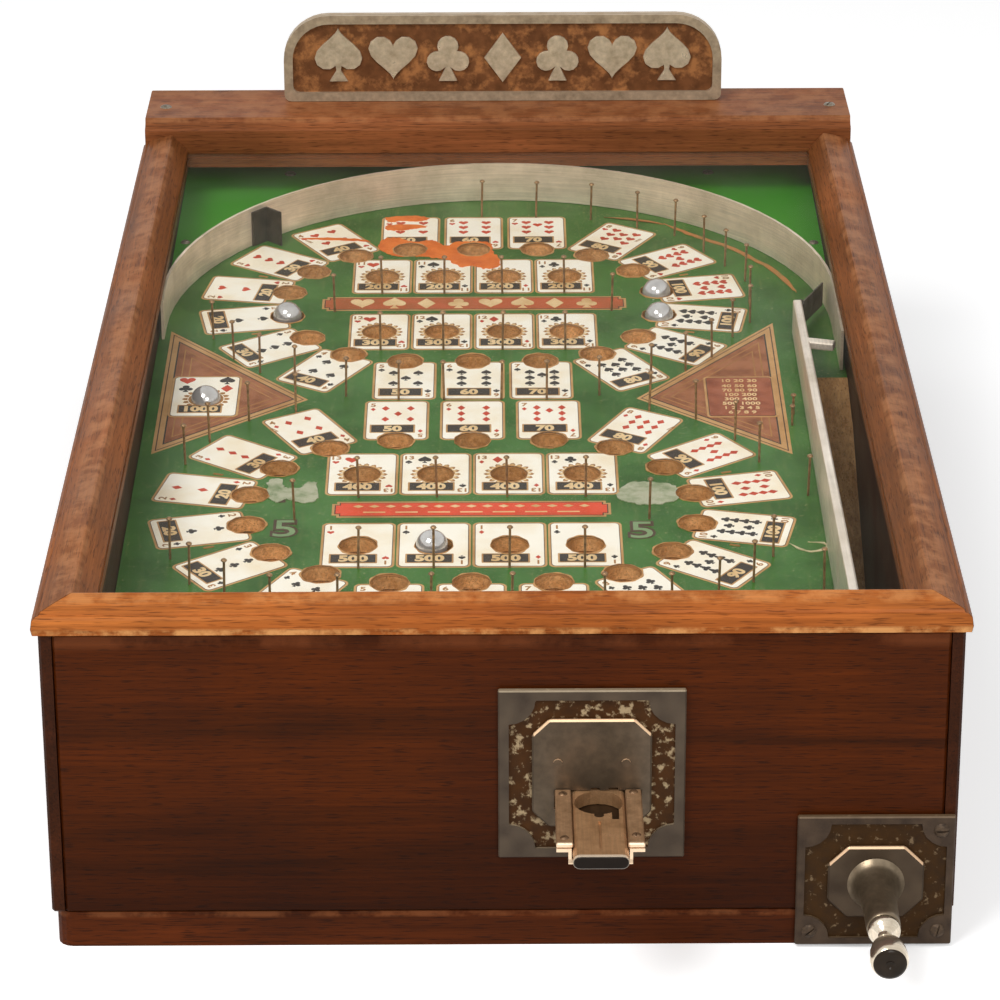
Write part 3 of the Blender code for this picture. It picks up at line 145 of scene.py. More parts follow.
scene = bpy.context.scene
scene.view_settings.view_transform = "Standard"
world = bpy.data.worlds.new("studio")
scene.world = world
world.use_nodes = True
sky = world.node_tree
background = sky.nodes["Background"]
background.inputs["Color"].default_value = (1.0, 1.0, 1.0, 1.0)
fill_level = 0.42
level = add(sky, "MapRange", {"To Min": fill_level, "To Max": 1.0}, {"Value": seen_sharply(sky)})
join(sky, background, {"Strength": level})

aim = Vector((0.0, 0.0, 0.1))
lamps = (("key_lamp", (-0.9, -1.2, 2.1), 1.0, 30.0), ("front_lamp", (0.4, -2.1, 1.35), 0.8, 20.0))
for name, place, size, power in lamps:
    lamp = bpy.data.objects.new(name, bpy.data.lights.new(name, "AREA"))
    lamp.data.size = size
    lamp.data.energy = power
    lamp.location = place
    lamp.rotation_euler = (aim - Vector(place)).to_track_quat("-Z", "Y").to_euler()
    scene.collection.objects.link(lamp)

shape = bmesh.new()
bmesh.ops.create_grid(shape, x_segments=1, y_segments=1, size=8.0)
mesh = bpy.data.meshes.new("floor")
shape.to_mesh(mesh)
shape.free()
floor = bpy.data.objects.new("floor", mesh)
floor.location.z = -0.1 * mm
scene.collection.objects.link(floor)
made, tree, shader, where = finish("matt_white_floor", 0.9)
sharp = seen_sharply(tree)
tone = add(tree, "Mix", {"data_type": "RGBA", 6: srgb("#D8D6D2"), 7: srgb("#FFFFFF")}, {0: sharp})
glow = add(tree, "Math", {"operation": "MULTIPLY", 1: 0.35}, {0: sharp})
shader.inputs["Emission Color"].default_value = srgb("#FFFFFF")
shader.inputs["Specular IOR Level"].default_value = 0.0
join(tree, shader, {"Base Color": tone, "Emission Strength": glow})
floor.data.materials.append(made)
print("floor and", len(lamps), "lamps")

# %% [markdown]
# ## Wood
# The case is mahogany, planed, stained and varnished: close straight grain, fine dark pores a few
# millimetres long, and slow changes of colour from board to board. Each layer is noise drawn out along
# the grain. The pores of real mahogany are 0.3 mm wide, too fine for the picture, so they are drawn
# about twice as wide.

# %% Planed wood
def planed_wood(name, light, dark, pore, grain, roughness, figure=(420, 24), fibre=(60, 1.4)):
    """Stained wood whose grain runs along one axis (0, 1 or 2): figure, fibres, pores and stains."""
    made, tree, shader, where = finish(name, roughness)
    shader.inputs["Specular IOR Level"].default_value = 0.07
    patterns = []
    for along, across, detail, bend in ((*figure, 4.0, 0.8), (*fibre, 3.0, 0.2), (10, 0.6, 1.0, 0.0)):
        sizes = [across] * 3
        sizes[grain] = along
        stretch = add(tree, "Mapping", {"Scale": per(*sizes)}, {"Vector": where})
        noise = add(tree, "TexNoise", {"Scale": 1.0, "Detail": detail, "Distortion": bend},
                    {"Vector": stretch})
        patterns.append(noise)
    figured = add(tree, "MapRange", {"From Min": 0.28, "From Max": 0.74}, {"Value": patterns[0]})
    fibres = add(tree, "MapRange", {"From Min": 0.3, "From Max": 0.7, "To Min": 0.76, "To Max": 1.2},
                 {"Value": patterns[1]})
    pores = add(tree, "MapRange", {"From Min": 0.57, "From Max": 0.68}, {"Value": patterns[2]})
    stains = add(tree, "TexNoise", {"Scale": per(85)[0], "Detail": 5.0}, {"Vector": where})
    stained = add(tree, "MapRange", {"From Min": 0.35, "From Max": 0.62, "To Min": 0.76, "To Max": 1.06},
                  {"Value": stains})
    colour = add(tree, "Mix", {"data_type": "RGBA", 6: srgb(light), 7: srgb(dark)}, {0: figured})
    shade = add(tree, "Math", {"operation": "MULTIPLY"}, {0: fibres, 1: stained})
    colour = add(tree, "VectorMath", {"operation": "SCALE"}, {0: colour, "Scale": shade})
    amount = add(tree, "Math", {"operation": "MULTIPLY", 1: 0.6}, {0: pores})
    colour = add(tree, "Mix", {"data_type": "RGBA", 7: srgb(pore)}, {0: amount, 6: colour})
    sheen = add(tree, "MapRange", {"From Min": 0.3, "From Max": 0.7, "To Min": roughness - 0.06,
                                   "To Max": roughness + 0.14}, {"Value": stains})
    height = add(tree, "Math", {"operation": "SUBTRACT"}, {0: patterns[1], 1: pores})
    relief = add(tree, "Bump", {"Strength": 0.35, "Distance": 0.15 * mm}, {"Height": height})
    join(tree, shader, {"Base Color": colour, "Roughness": sheen, "Normal": relief})
    return made


print("a figure 24 mm wide repeats", round(per(24)[0], 1), "times a metre")

# %% [markdown]
# ## Layers over a finish
# Old wood and metal are never one colour all over: edges are rubbed. Besides the wear, two of the layers
# are painted light: the low parts of a board darkened as painted shade, and the faces that look upwards
# lightened as a painted highlight. Each layer is mixed over the finish where a coordinate or the direction
# that a face looks in says so, so that it can be added to any finish made before.

# %% Layers over a finish
def over(made, coordinate="Object"):
    """What a layer over a finish starts from: its tree, its shader, a coordinate and the colour so far."""
    tree = made.node_tree
    shader = tree.nodes["Principled BSDF"]
    where = add(tree, "TexCoord").outputs[coordinate]
    return tree, shader, where, shader.inputs["Base Color"].links[0].from_socket


def worn(made, axis, low, high, colour, share, size=14.0, cover=(0.42, 0.6)):
    """Lays a patchy band over a finish where one coordinate lies between two values, in mm: rubbed wear,
    and, near white and dense, a painted highlight along an edge.
    """
    tree, shader, where, under = over(made)
    split = add(tree, "SeparateXYZ", {}, {0: where})
    middle = (low + high) / 2 * mm
    reach = (high - low) / 2 * mm
    away = add(tree, "Math", {"operation": "SUBTRACT", 1: middle}, {0: split.outputs[axis]})
    away = add(tree, "Math", {"operation": "ABSOLUTE"}, {0: away})
    band = add(tree, "MapRange", {"From Min": reach, "From Max": reach * 0.4, "To Max": share},
               {"Value": away})
    cloud = add(tree, "TexNoise", {"Scale": per(size)[0], "Detail": 6.0, "Roughness": 0.65},
                {"Vector": where})
    patches = add(tree, "MapRange", {"From Min": cover[0], "From Max": cover[1]}, {"Value": cloud})
    amount = add(tree, "Math", {"operation": "MULTIPLY"}, {0: band, 1: patches})
    mixed = add(tree, "Mix", {"data_type": "RGBA", 7: srgb(colour)}, {0: amount, 6: under})
    join(tree, shader, {"Base Color": mixed})


def dimmed(made, axis, low, high, level):
    """Painted shade: darkens a finish towards the low end of one coordinate, in mm, to a share of its
    colour.
    """
    tree, shader, where, under = over(made)
    split = add(tree, "SeparateXYZ", {}, {0: where})
    ramp = add(tree, "MapRange", {"From Min": low * mm, "From Max": high * mm, "To Min": level},
               {"Value": split.outputs[axis]})
    shade = add(tree, "VectorMath", {"operation": "SCALE"}, {0: under, "Scale": ramp})
    join(tree, shader, {"Base Color": shade})


def catching(made, colour, share):
    """A painted highlight: lightens the faces that look upwards, such as a plate's upper edges, as if lit
    from above.
    """
    tree, shader, facing, under = over(made, "Normal")
    split = add(tree, "SeparateXYZ", {}, {0: facing})
    up = add(tree, "MapRange", {"From Min": 0.25, "From Max": 0.5, "To Max": share},
             {"Value": split.outputs[2]})
    mixed = add(tree, "Mix", {"data_type": "RGBA", 7: srgb(colour)}, {0: up, 6: under})
    join(tree, shader, {"Base Color": mixed})


def dress(finishes):
    """Puts finishes on the frame's own pieces, by name."""
    for made, names in finishes:
        for name in names.split():
            nodes[name].data.materials.clear()
            nodes[name].data.materials.append(made)


print("worn, dimmed and catching can go over a finish")

# %% [markdown]
# ## The woods of the case
# The case boards are stained almost black and the top moulding is redder and lighter, with its edges
# rubbed bare by hands. The grain runs along each board, so a board that runs across the machine and
# one that runs front to back each have their own. The parts inside are plain sawn fir.

# %% The woods of the case
case_across = planed_wood("varnished_mahogany_across", "#532306", "#381703", "#180A03", 0, 0.4)
case_along = planed_wood("varnished_mahogany_along", "#4A2411", "#321809", "#180A04", 1, 0.42)
base_wood = planed_wood("stained_mahogany_base", "#5A280D", "#3E1B08", "#1A0C06", 0, 0.45)
rail_across = planed_wood("moulded_mahogany_across", "#BC6E33", "#944B1D", "#4E240C", 0, 0.36)
rail_along = planed_wood("moulded_mahogany_along", "#9A5C34", "#744524", "#3A1C0C", 1, 0.38)
board_across = planed_wood("varnished_sapele_board", "#9A5A34", "#764424", "#361A0C", 0, 0.4)
fir = planed_wood("sawn_fir", "#B98F5E", "#96693F", "#5A3A20", 1, 0.62, figure=(300, 9), fibre=(80, 2.0))
worn(rail_across, 2, 155.5, 160.5, "#E8A868", 0.75)
worn(rail_across, 2, 167.5, 171.5, "#E09A5C", 0.4)
worn(rail_along, 2, 167.0, 171.5, "#C88A5C", 0.4)
worn(board_across, 2, 175.0, 179.5, "#C08254", 0.4)
worn(base_wood, 2, 14.0, 18.5, "#8A5230", 0.5)
worn(case_across, 2, 148.0, 160.0, "#7E4424", 0.5, 40.0)
# Painted shade: the front and back panels are darkened towards their bottoms.
dimmed(case_across, 2, 22.0, 80.0, 0.5)
dress((
    (case_across, "front_panel back_panel"), (case_along, "left_side_panel right_side_panel"),
    (base_wood, "base_board"), (rail_across, "front_rail"), (rail_along, "left_rail right_rail"),
    (board_across, "back_board"),
    (fir, "playfield_cleat_left playfield_cleat_right lane_wall lane_ramp shuttle_runner_left "
          "shuttle_runner_right ball_tray tray_cleat_left tray_cleat_right"),
))
print("wood on", sum(1 for o in nodes.values() if "mahogany" in o.data.materials[0].name), "case pieces")

# %% [markdown]
# ## Metal
# Ninety years have dulled the metal: the arch and the divider are rolled aluminium with a grey skin,
# the plates are cast and oxidised brown, and only the parts that hands rub are still bright. One
# recipe covers them: two tones in blotches, fine scratches drawn out along one axis, and a roughness
# that follows the blotches.

# %% Worked metal
def worked_metal(name, bright, dull, roughness, blotch=9.0, scratch=None, dents=0.1, skin=0.4):
    """Old metal in two tones, with scratches (mm along x, y, z), dents and a dull skin of oxide."""
    made, tree, shader, where = finish(name, roughness, 1.0 - skin)
    cloud = add(tree, "TexNoise", {"Scale": per(blotch)[0], "Detail": 8.0, "Roughness": 0.62},
                {"Vector": where})
    patches = add(tree, "MapRange", {"From Min": 0.32, "From Max": 0.68}, {"Value": cloud})
    stretch = add(tree, "Mapping", {"Scale": per(*(scratch or (3.0, 3.0, 3.0)))}, {"Vector": where})
    lines = add(tree, "TexNoise", {"Scale": 1.0, "Detail": 3.0}, {"Vector": stretch})
    fine = add(tree, "MapRange", {"From Min": 0.3, "From Max": 0.7, "To Min": 0.86, "To Max": 1.1},
               {"Value": lines})
    colour = add(tree, "Mix", {"data_type": "RGBA", 6: srgb(bright), 7: srgb(dull)}, {0: patches})
    colour = add(tree, "VectorMath", {"operation": "SCALE"}, {0: colour, "Scale": fine})
    rough = add(tree, "MapRange", {"From Min": 0.3, "From Max": 0.7, "To Min": roughness * 0.75,
                                   "To Max": min(roughness * 1.45, 0.95)}, {"Value": cloud})
    height = add(tree, "Math", {"operation": "ADD"}, {0: cloud, 1: lines})
    relief = add(tree, "Bump", {"Strength": 0.3, "Distance": dents * mm}, {"Height": height})
    join(tree, shader, {"Base Color": colour, "Roughness": rough, "Normal": relief})
    return made


aluminium = worked_metal("rolled_aluminium_strip", "#F0DEC4", "#C6B59A", 0.42, 26.0, (30.0, 30.0, 0.8),
                         skin=0.55)
rail_metal = worked_metal("rolled_aluminium_divider", "#F4E8D8", "#D2C4B0", 0.35, 30.0, (1.2, 40.0, 1.2))
gate_steel = worked_metal("blued_steel_strip", "#5A4E40", "#352D24", 0.45, 6.0)
coin_steel = worked_metal("cast_iron_plate_oxidised", "#4E4030", "#392D22", 0.5, 12.0, dents=0.15, skin=0.5)
panel_steel = worked_metal("cast_panel_rubbed", "#5A4C3C", "#453828", 0.45, 18.0, dents=0.12)
plunger_steel = worked_metal("cast_iron_plate_browned", "#443220", "#2E2014", 0.5, 6.0, dents=0.2, skin=0.5)
panel_brown = worked_metal("cast_panel_browned", "#4C3D2C", "#382A1C", 0.45, 12.0, dents=0.12)
sleeve_steel = worked_metal("turned_sleeve_rubbed", "#8C7C66", "#60523F", 0.34, 14.0, skin=0.2)
nickel = worked_metal("nickel_plated_brass_worn", "#C49C76", "#94714F", 0.34, 7.0, (0.9, 18.0, 0.9))
slide_metal = worked_metal("coin_slide_rubbed", "#D0A276", "#A57C54", 0.32, 9.0, (0.9, 18.0, 0.9))
knob_metal = worked_metal("turned_nickel_knob", "#EADDC8", "#BCAC94", 0.18, 12.0, (6.0, 0.7, 6.0),
                          dents=0.02, skin=0.1)
steel_wire = worked_metal("drawn_steel_wire", "#B5AEA4", "#7E766A", 0.3, 4.0)
hinge_steel = worked_metal("rolled_steel_hinge", "#8E7E64", "#5C4E3A", 0.4, 10.0)
tinplate = worked_metal("folded_tinplate", "#8F8B84", "#6A645A", 0.4, 14.0)
brass = worked_metal("drawn_brass_pin", "#A8845A", "#6A4E30", 0.36, 2.5, skin=0.6)
bush_brass = worked_metal("turned_brass_bush", "#C29B5C", "#8A6A38", 0.35, 5.0)
header_metal = worked_metal("cast_aluminium_header", "#BCA88C", "#8C7A62", 0.45, 9.0, dents=0.25, skin=0.5)
relief_metal = worked_metal("cast_aluminium_relief_rubbed", "#DCCBB0", "#AC9A7E", 0.34, 8.0, dents=0.2)
dress((
    (aluminium, "arch_rail"), (rail_metal, "lane_divider"),
    (gate_steel, "arch_stop gate_pin gate_leaf"), (coin_steel, "coin_plate"), (panel_steel, "coin_panel"),
    (plunger_steel, "plunger_plate"), (panel_brown, "plunger_panel"), (sleeve_steel, "plunger_sleeve"),
    (nickel, "coin_chute coin_guide_left coin_guide_right plunger_rod"), (slide_metal, "coin_slide"),
    (knob_metal, "plunger_knob"), (bush_brass, "plunger_bush"), (tinplate, "cash_box"),
    (hinge_steel, "hinge_leaf_lower hinge_leaf_upper hinge_pin"), (header_metal, "header_plate"),
))
print("metal dressed")

# %% [markdown]
# ## Paint in the recesses, painted shade and painted highlights
# The plates' and the header's recesses were painted, and the paint has gone brown and flaked. A band
# over one coordinate, their depth behind the rim, picks out just those faces, and a second, patchier
# band lays the flakes on top. The same bands lay painted shade on the slide's front face and in the
# coin chute's floor, and near-white painted highlights along the front edges of the slide and the
# guides. The plates' and the header's upward faces get a painted highlight.

# %% Painted recesses
def painted(made, axis, low, high, colour):
    """A flat colour over a metal between two values of one coordinate, in mm: full cover, and not metallic.
    It lays real paint, and also painted shade and a painted dark reflection.
    """
    tree, shader, where, under = over(made)
    split = add(tree, "SeparateXYZ", {}, {0: where})
    above = add(tree, "Math", {"operation": "GREATER_THAN", 1: low * mm}, {0: split.outputs[axis]})
    below = add(tree, "Math", {"operation": "LESS_THAN", 1: high * mm}, {0: split.outputs[axis]})
    mask = add(tree, "Math", {"operation": "MULTIPLY"}, {0: above, 1: below})
    cloud = add(tree, "TexNoise", {"Scale": per(6.0)[0], "Detail": 6.0}, {"Vector": where})
    tone = add(tree, "MapRange", {"From Min": 0.3, "From Max": 0.7, "To Min": 0.7, "To Max": 1.25},
               {"Value": cloud})
    paint = add(tree, "VectorMath", {"operation": "SCALE", 0: srgb(colour)[:3]}, {"Scale": tone})
    mixed = add(tree, "Mix", {"data_type": "RGBA"}, {0: mask, 6: under, 7: paint})
    metal = shader.inputs["Metallic"].default_value
    bare = add(tree, "MapRange", {"To Min": metal, "To Max": 0.0}, {"Value": mask})
    gloss = add(tree, "MapRange", {"To Min": 0.5, "To Max": 0.1}, {"Value": mask})
    join(tree, shader, {"Base Color": mixed, "Metallic": bare, "Specular IOR Level": gloss})


painted(coin_steel, 1, -356.8, -354.8, "#40260F")
worn(coin_steel, 1, -357.1, -354.9, "#B09A78", 0.85, 4.5, (0.54, 0.62))
# Painted highlights on the upward faces of the coin plate and its panel.
catching(coin_steel, "#9A8A72", 0.7)
catching(panel_steel, "#F4CDA4", 0.9)
painted(plunger_steel, 1, -356.8, -354.8, "#38240F")
worn(plunger_steel, 1, -357.1, -354.9, "#8A7458", 0.6, 4.0, (0.58, 0.64))
# Painted highlights on the upward faces of the plunger plate and its panel.
catching(plunger_steel, "#6E5A44", 0.6)
catching(panel_brown, "#E6C09A", 0.9)
# Painted shade: the front face of the slide's nose is painted near black.
painted(slide_metal, 1, -421.0, -419.0, "#1A120C")
# A painted highlight: a near-white line along the top edge of the slide's nose, laid with the worn band.
worn(slide_metal, 1, -419.6, -417.4, "#FFE9CC", 0.9, 20.0, (0.2, 0.4))
# Painted shade: the chute's floor and lower walls, seen down the coin pocket, are painted dark.
painted(nickel, 2, 72.5, 74.5, "#2A1C10")
# A painted highlight: a near-white line along the guides' front edges, laid with the worn band.
worn(nickel, 1, -410.6, -408.2, "#FFE2C0", 0.9, 20.0, (0.2, 0.4))
painted(header_metal, 1, 328.4, 329.6, "#6C4428")
worn(header_metal, 1, 328.0, 330.0, "#B87C4A", 0.7, 9.0, (0.48, 0.64))
# A painted highlight on the header's upward faces.
catching(header_metal, "#C8B498", 0.5)
print("recesses painted")

# %% [markdown]
# ## The glass
# A 3 mm sheet of window glass. A clear sheet is mostly seen through, so it is given a low alpha, which
# lets the light in and keeps its reflections faint. Towards the back the alpha rises in patches, a painted
# reflection that makes the sheet paler there, and the same noise varies its roughness.

# %% Glass
made, tree, shader, where = finish("drawn_sheet_glass", 0.04)
shader.inputs["Base Color"].default_value = srgb("#CFCDB4")
dust_and_glare = add(tree, "TexNoise", {"Scale": per(60)[0], "Detail": 6.0}, {"Vector": where})
split = add(tree, "SeparateXYZ", {}, {0: where})
# Painted reflection: the sheet grows paler towards the back, in patches.
back = add(tree, "MapRange", {"From Min": -0.1, "From Max": 0.29, "To Min": 0.02, "To Max": 0.07},
           {"Value": split.outputs[1]})
painted_glare = add(tree, "Math", {"operation": "MULTIPLY"}, {0: back, 1: dust_and_glare})
rough = add(tree, "MapRange", {"To Min": 0.02, "To Max": 0.14}, {"Value": dust_and_glare})
join(tree, shader, {"Alpha": painted_glare, "Roughness": rough})
dress(((made, "glass"),))

# %% [markdown]
# ## Making shapes
# Flat work, such as print, is drawn as outlines in millimetres on the playfield's own plane and given
# a hair's thickness. Round work is a profile turned about an axis. Both go into one mesh for each
# finish, which then rides on a body of the frame.

# %% Helpers for shapes
tilt = math.radians(2.9)
in_mm = Matrix.Scale(mm, 4)
field = Matrix.Translation((0.0, -354.0, 99.4)) @ Matrix.Rotation(tilt, 4, "X")
paper = in_mm @ field
flat = Matrix.Identity(4)


def prism(shape, outline, low, high, place=flat):
    """Adds an outline with thickness to a mesh, from one level to another."""
    foot = [shape.verts.new(place @ Vector((x, y, low))) for x, y in outline]
    top = [shape.verts.new(place @ Vector((x, y, high))) for x, y in outline]
    shape.faces.new(foot[::-1])
    shape.faces.new(top)
    for i in range(len(outline)):
        j = (i + 1) % len(outline)
        shape.faces.new((foot[i], foot[j], top[j], top[i]))


def turn(shape, profile, segments, place=flat):
    """Adds a turned shape about the local z axis: (radius, height) from its top down."""
    rings = []
    for radius, height in profile:
        if radius:
            angles = [2 * math.pi * i / segments for i in range(segments)]
            rings.append([
                shape.verts.new(place @ Vector((radius * math.cos(a), radius * math.sin(a), height)))
                for a in angles
            ])
        else:
            rings.append([shape.verts.new(place @ Vector((0.0, 0.0, height)))] * segments)
    for upper, lower in zip(rings, rings[1:]):
        for i in range(segments):
            j = (i + 1) % segments
            corners = []
            for vert in (upper[i], lower[i], lower[j], upper[j]):
                if vert not in corners:
                    corners.append(vert)
            if len(corners) > 2:
                shape.faces.new(corners)


print("a flat outline and a turned profile can go into any mesh")

# %% [markdown]
# ## Pieces
# A piece is one mesh with one finish. It is given its place and the body that it moves with.

# %% Pieces
def piece(name, shape, made, body, place=flat, smooth=False):
    """A finished piece of one material that moves with a body."""
    bmesh.ops.recalc_face_normals(shape, faces=shape.faces)
    mesh = bpy.data.meshes.new(name)
    shape.to_mesh(mesh)
    shape.free()
    mesh.transform(place)
    mesh.materials.append(made)
    obj = bpy.data.objects.new(name, mesh)
    scene.collection.objects.link(obj)
    if smooth:
        mesh.shade_smooth()
        mesh.set_sharp_from_angle(angle=math.radians(40))
    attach(obj, body)
    return obj


# %% [markdown]
# ## Cuts and outlines
# Holes are cut by a Boolean with Blender's exact solver, which copes with the many thin layers that
# meet here. Outlines with round corners are built from arcs.

# %% Cuts and outlines
def cut(shape, cutter):
    """Cuts one mesh from another by an exact Boolean, and gives back the result as a mesh in the making."""
    both = []
    for part in (shape, cutter):
        bmesh.ops.recalc_face_normals(part, faces=part.faces)
        mesh = bpy.data.meshes.new("part")
        part.to_mesh(mesh)
        part.free()
        obj = bpy.data.objects.new("part", mesh)
        scene.collection.objects.link(obj)
        both.append(obj)
    change = both[0].modifiers.new("cut", "BOOLEAN")
    change.operation = "DIFFERENCE"
    change.object = both[1]
    change.solver = "EXACT"
    change.use_self = True
    graph = bpy.context.evaluated_depsgraph_get()
    done = bpy.data.meshes.new_from_object(both[0].evaluated_get(graph))
    for obj in both:
        bpy.data.objects.remove(obj, do_unlink=True)
    result = bmesh.new()
    result.from_mesh(done)
    bpy.data.meshes.remove(done)
    return result


def arc(x, y, radius, start, end, steps):
    """Points on a circle from one angle to another, in degrees."""
    angles = [math.radians(start + (end - start) * i / steps) for i in range(steps + 1)]
    return [(x + radius * math.cos(a), y + radius * math.sin(a)) for a in angles]


def rounded(width, height, radius, steps=5):
    """A rectangle round the origin with rounded corners."""
    x = width / 2 - radius
    y = height / 2 - radius
    return (arc(x, y, radius, 0, 90, steps) + arc(-x, y, radius, 90, 180, steps)
            + arc(-x, -y, radius, 180, 270, steps) + arc(x, -y, radius, 270, 360, steps))


print("the playfield slopes", round(math.degrees(tilt), 1), "degrees")

# %% [markdown]
# ## Pockets and the boards they go through
# The pockets stand in two ovals, each round two rows of four. The face sheet, the board under it and
# the shuttle below are drilled again here with smoother holes than the solids have, because the eye
# is drawn to the round edges.

# %% Places of the pockets
middle_x = -14.1
ovals = ((489.5, 101.4, 75.9, 37.6, 33.8), (237.5, 110.6, 78.5, 39.2, 36.9))
quarter = ((0.655, 0.885, 31.5), (0.88, 0.592, 57.0), (1.0, 0.212, 80.0))
middle_share = 0.355
single_pocket = (-153.5, 366.5)
pockets = [single_pocket]
for oval_y, wide, tall, row, pitch in ovals:
    for end in (-1, 1):
        pockets += [(middle_x + side * across * wide, oval_y + end * up * tall)
                    for side in (-1, 1) for across, up, angle in quarter]
        pockets += [(middle_x + step * middle_share * wide, oval_y + end * tall) for step in (-1, 0, 1)]
        pockets += [(middle_x + step * pitch / 2, oval_y + end * row) for step in (-3, -1, 1, 3)]
print(len(pockets), "pockets")

# %% [markdown]
# ## Green enamel
# The face was screened in one green. The balls have rubbed it along their way and chipped it, and the
# green is made brighter outside the arch, towards the back corners. The cut edges of the sheet
# show bare board, so faces that don't look upwards are given its colour.

# %% Green enamel
made, tree, shader, where = finish("screened_green_enamel", 0.38)
shader.inputs["Specular IOR Level"].default_value = 0.18
cloud = add(tree, "TexNoise", {"Scale": per(48)[0], "Detail": 7.0, "Roughness": 0.6}, {"Vector": where})
fine = add(tree, "TexNoise", {"Scale": per(1.6)[0], "Detail": 4.0}, {"Vector": where})
along_play = add(tree, "Mapping", {"Scale": per(3.0, 26.0, 26.0)}, {"Vector": where})
streaks = add(tree, "TexNoise", {"Scale": 1.0, "Detail": 5.0}, {"Vector": along_play})
aged = add(tree, "MapRange", {"From Min": 0.38, "From Max": 0.64}, {"Value": cloud})
rubbed = add(tree, "MapRange", {"From Min": 0.56, "From Max": 0.76, "To Max": 0.34}, {"Value": streaks})
chips = add(tree, "MapRange", {"From Min": 0.62, "From Max": 0.72, "To Max": 0.45}, {"Value": fine})

arch_centre = (0.0, 0.1034, 0.13)
arch_inside = 0.18
reach = add(tree, "VectorMath", {"operation": "DISTANCE", 1: arch_centre}, {0: where})
outside = add(tree, "MapRange", {"From Min": arch_inside, "From Max": arch_inside + 3 * mm, "To Max": 0.8},
              {"Value": reach})
back_half = add(tree, "MapRange", {"From Min": arch_centre[1], "From Max": arch_centre[1] + 10 * mm},
                {"Value": add(tree, "SeparateXYZ", {}, {0: where}).outputs[1]})
# The green is made brighter outside the arch, towards the back.
brighter_back_corners = add(tree, "Math", {"operation": "MULTIPLY"}, {0: outside, 1: back_half})
facing = add(tree, "SeparateXYZ", {}, {0: add(tree, "TexCoord").outputs["Normal"]})
cut_edge = add(tree, "MapRange", {"From Min": 0.7, "From Max": 0.3}, {"Value": facing.outputs[2]})

colour = add(tree, "Mix", {"data_type": "RGBA", 6: srgb("#3C6E24"), 7: srgb("#2C5419")}, {0: aged})
for amount, code in ((rubbed, "#6F7A40"), (chips, "#A39A6A"), (brighter_back_corners, "#3F9A1C"), (cut_edge, "#C08A54")):
    colour = add(tree, "Mix", {"data_type": "RGBA", 7: srgb(code)}, {0: amount, 6: colour})
relief = add(tree, "Bump", {"Strength": 0.2, "Distance": 0.06 * mm}, {"Height": fine})
rough = add(tree, "MapRange", {"From Min": 0.3, "From Max": 0.7, "To Min": 0.28, "To Max": 0.5},
            {"Value": cloud})
join(tree, shader, {"Base Color": colour, "Roughness": rough, "Normal": relief})
green = made
print("enamel:", green.name)

# %% [markdown]
# ## The drilled boards
# The face sheet is cut from thin board and the playfield board from thicker fir. The shuttle under
# them has the same holes, a little smaller and one travel nearer the front. Each starts as a plain
# board, and round bars are cut out of it where a drill would go. The lane's slot is cut the same way.

# %% Face sheet, board and shuttle
def drill(places, radius, low, high, segments=40):
    """Round bars to cut holes with, at these places, from one level to another."""
    shape = bmesh.new()
    for x, y in places:
        bar = ((0, high), (radius, high), (radius, low), (0, low))
        turn(shape, bar, segments, Matrix.Translation((x, y, 0)))
    return shape


def board(low, high, corners):
    """A plain board between two corners, from one level to another."""
    shape = bmesh.new()
    (left, front), (right, back) = corners
    prism(shape, [(left, front), (right, front), (right, back), (left, back)], low, high)
    return shape


# The drilled board is fir like the parts inside, given a lighter colour than them to offset the shade in
# the pocket bores: painted light.
bore_wood = planed_wood("drilled_fir_board", "#E6B074", "#BC8248", "#7E5028", 1, 0.6,
                        figure=(200, 6), fibre=(60, 1.6))
shuttle_wood = planed_wood("drilled_fir_shuttle", "#A87444", "#825430", "#54341C", 1, 0.65,
                           figure=(200, 8), fibre=(60, 1.8))
pocket_radius = 9.25
shuttle_hole_radius = 8.75
shuttle_travel = 16.0
field_corners = ((-183.6, 19.7), (183.6, 695.3))
slot_corners = ((163.2, 0.0), (190.0, 391.0))
sheet = cut(board(-1.0, 0.0, field_corners), board(-6.0, 4.0, slot_corners))
sheet = cut(sheet, drill(pockets, pocket_radius, -4.0, 4.0))
sheet = piece("face_sheet", sheet, green, "cabinet", paper)
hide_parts("playfield_face")
under = cut(board(-8.0, -1.3, field_corners), board(-12.0, 4.0, slot_corners))
under = cut(under, drill(pockets, pocket_radius, -12.0, 4.0))
under = piece("drilled_board", under, bore_wood, "cabinet", paper, smooth=True)
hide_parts("playfield_board")
shuttle = cut(
    board(-13.4, -8.4, ((-166.0, 104.0), (113.5, 592.0))),
    drill([(x, y - shuttle_travel) for x, y in pockets], shuttle_hole_radius, -20.0, 4.0),
)
striker_leg = (30.3, 54.3, -33.5, -13.2)
spring_lug = (13.3, 42.3, -24.3, -15.3)
for left, right, low, high in (striker_leg, spring_lug):
    prism(shuttle, [(left, 102.3), (right, 102.3), (right, 108.3), (left, 108.3)], low, high)
shuttle = piece("drilled_shuttle", shuttle, shuttle_wood, "shuttle", paper, smooth=True)
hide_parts("shuttle_board")
print("face sheet with", len(sheet.data.polygons), "faces")

# %% [markdown]
# ## Pins
# The pins are brass nails with small domed heads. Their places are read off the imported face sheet: the
# highest point of each pin is one vertex on its axis.

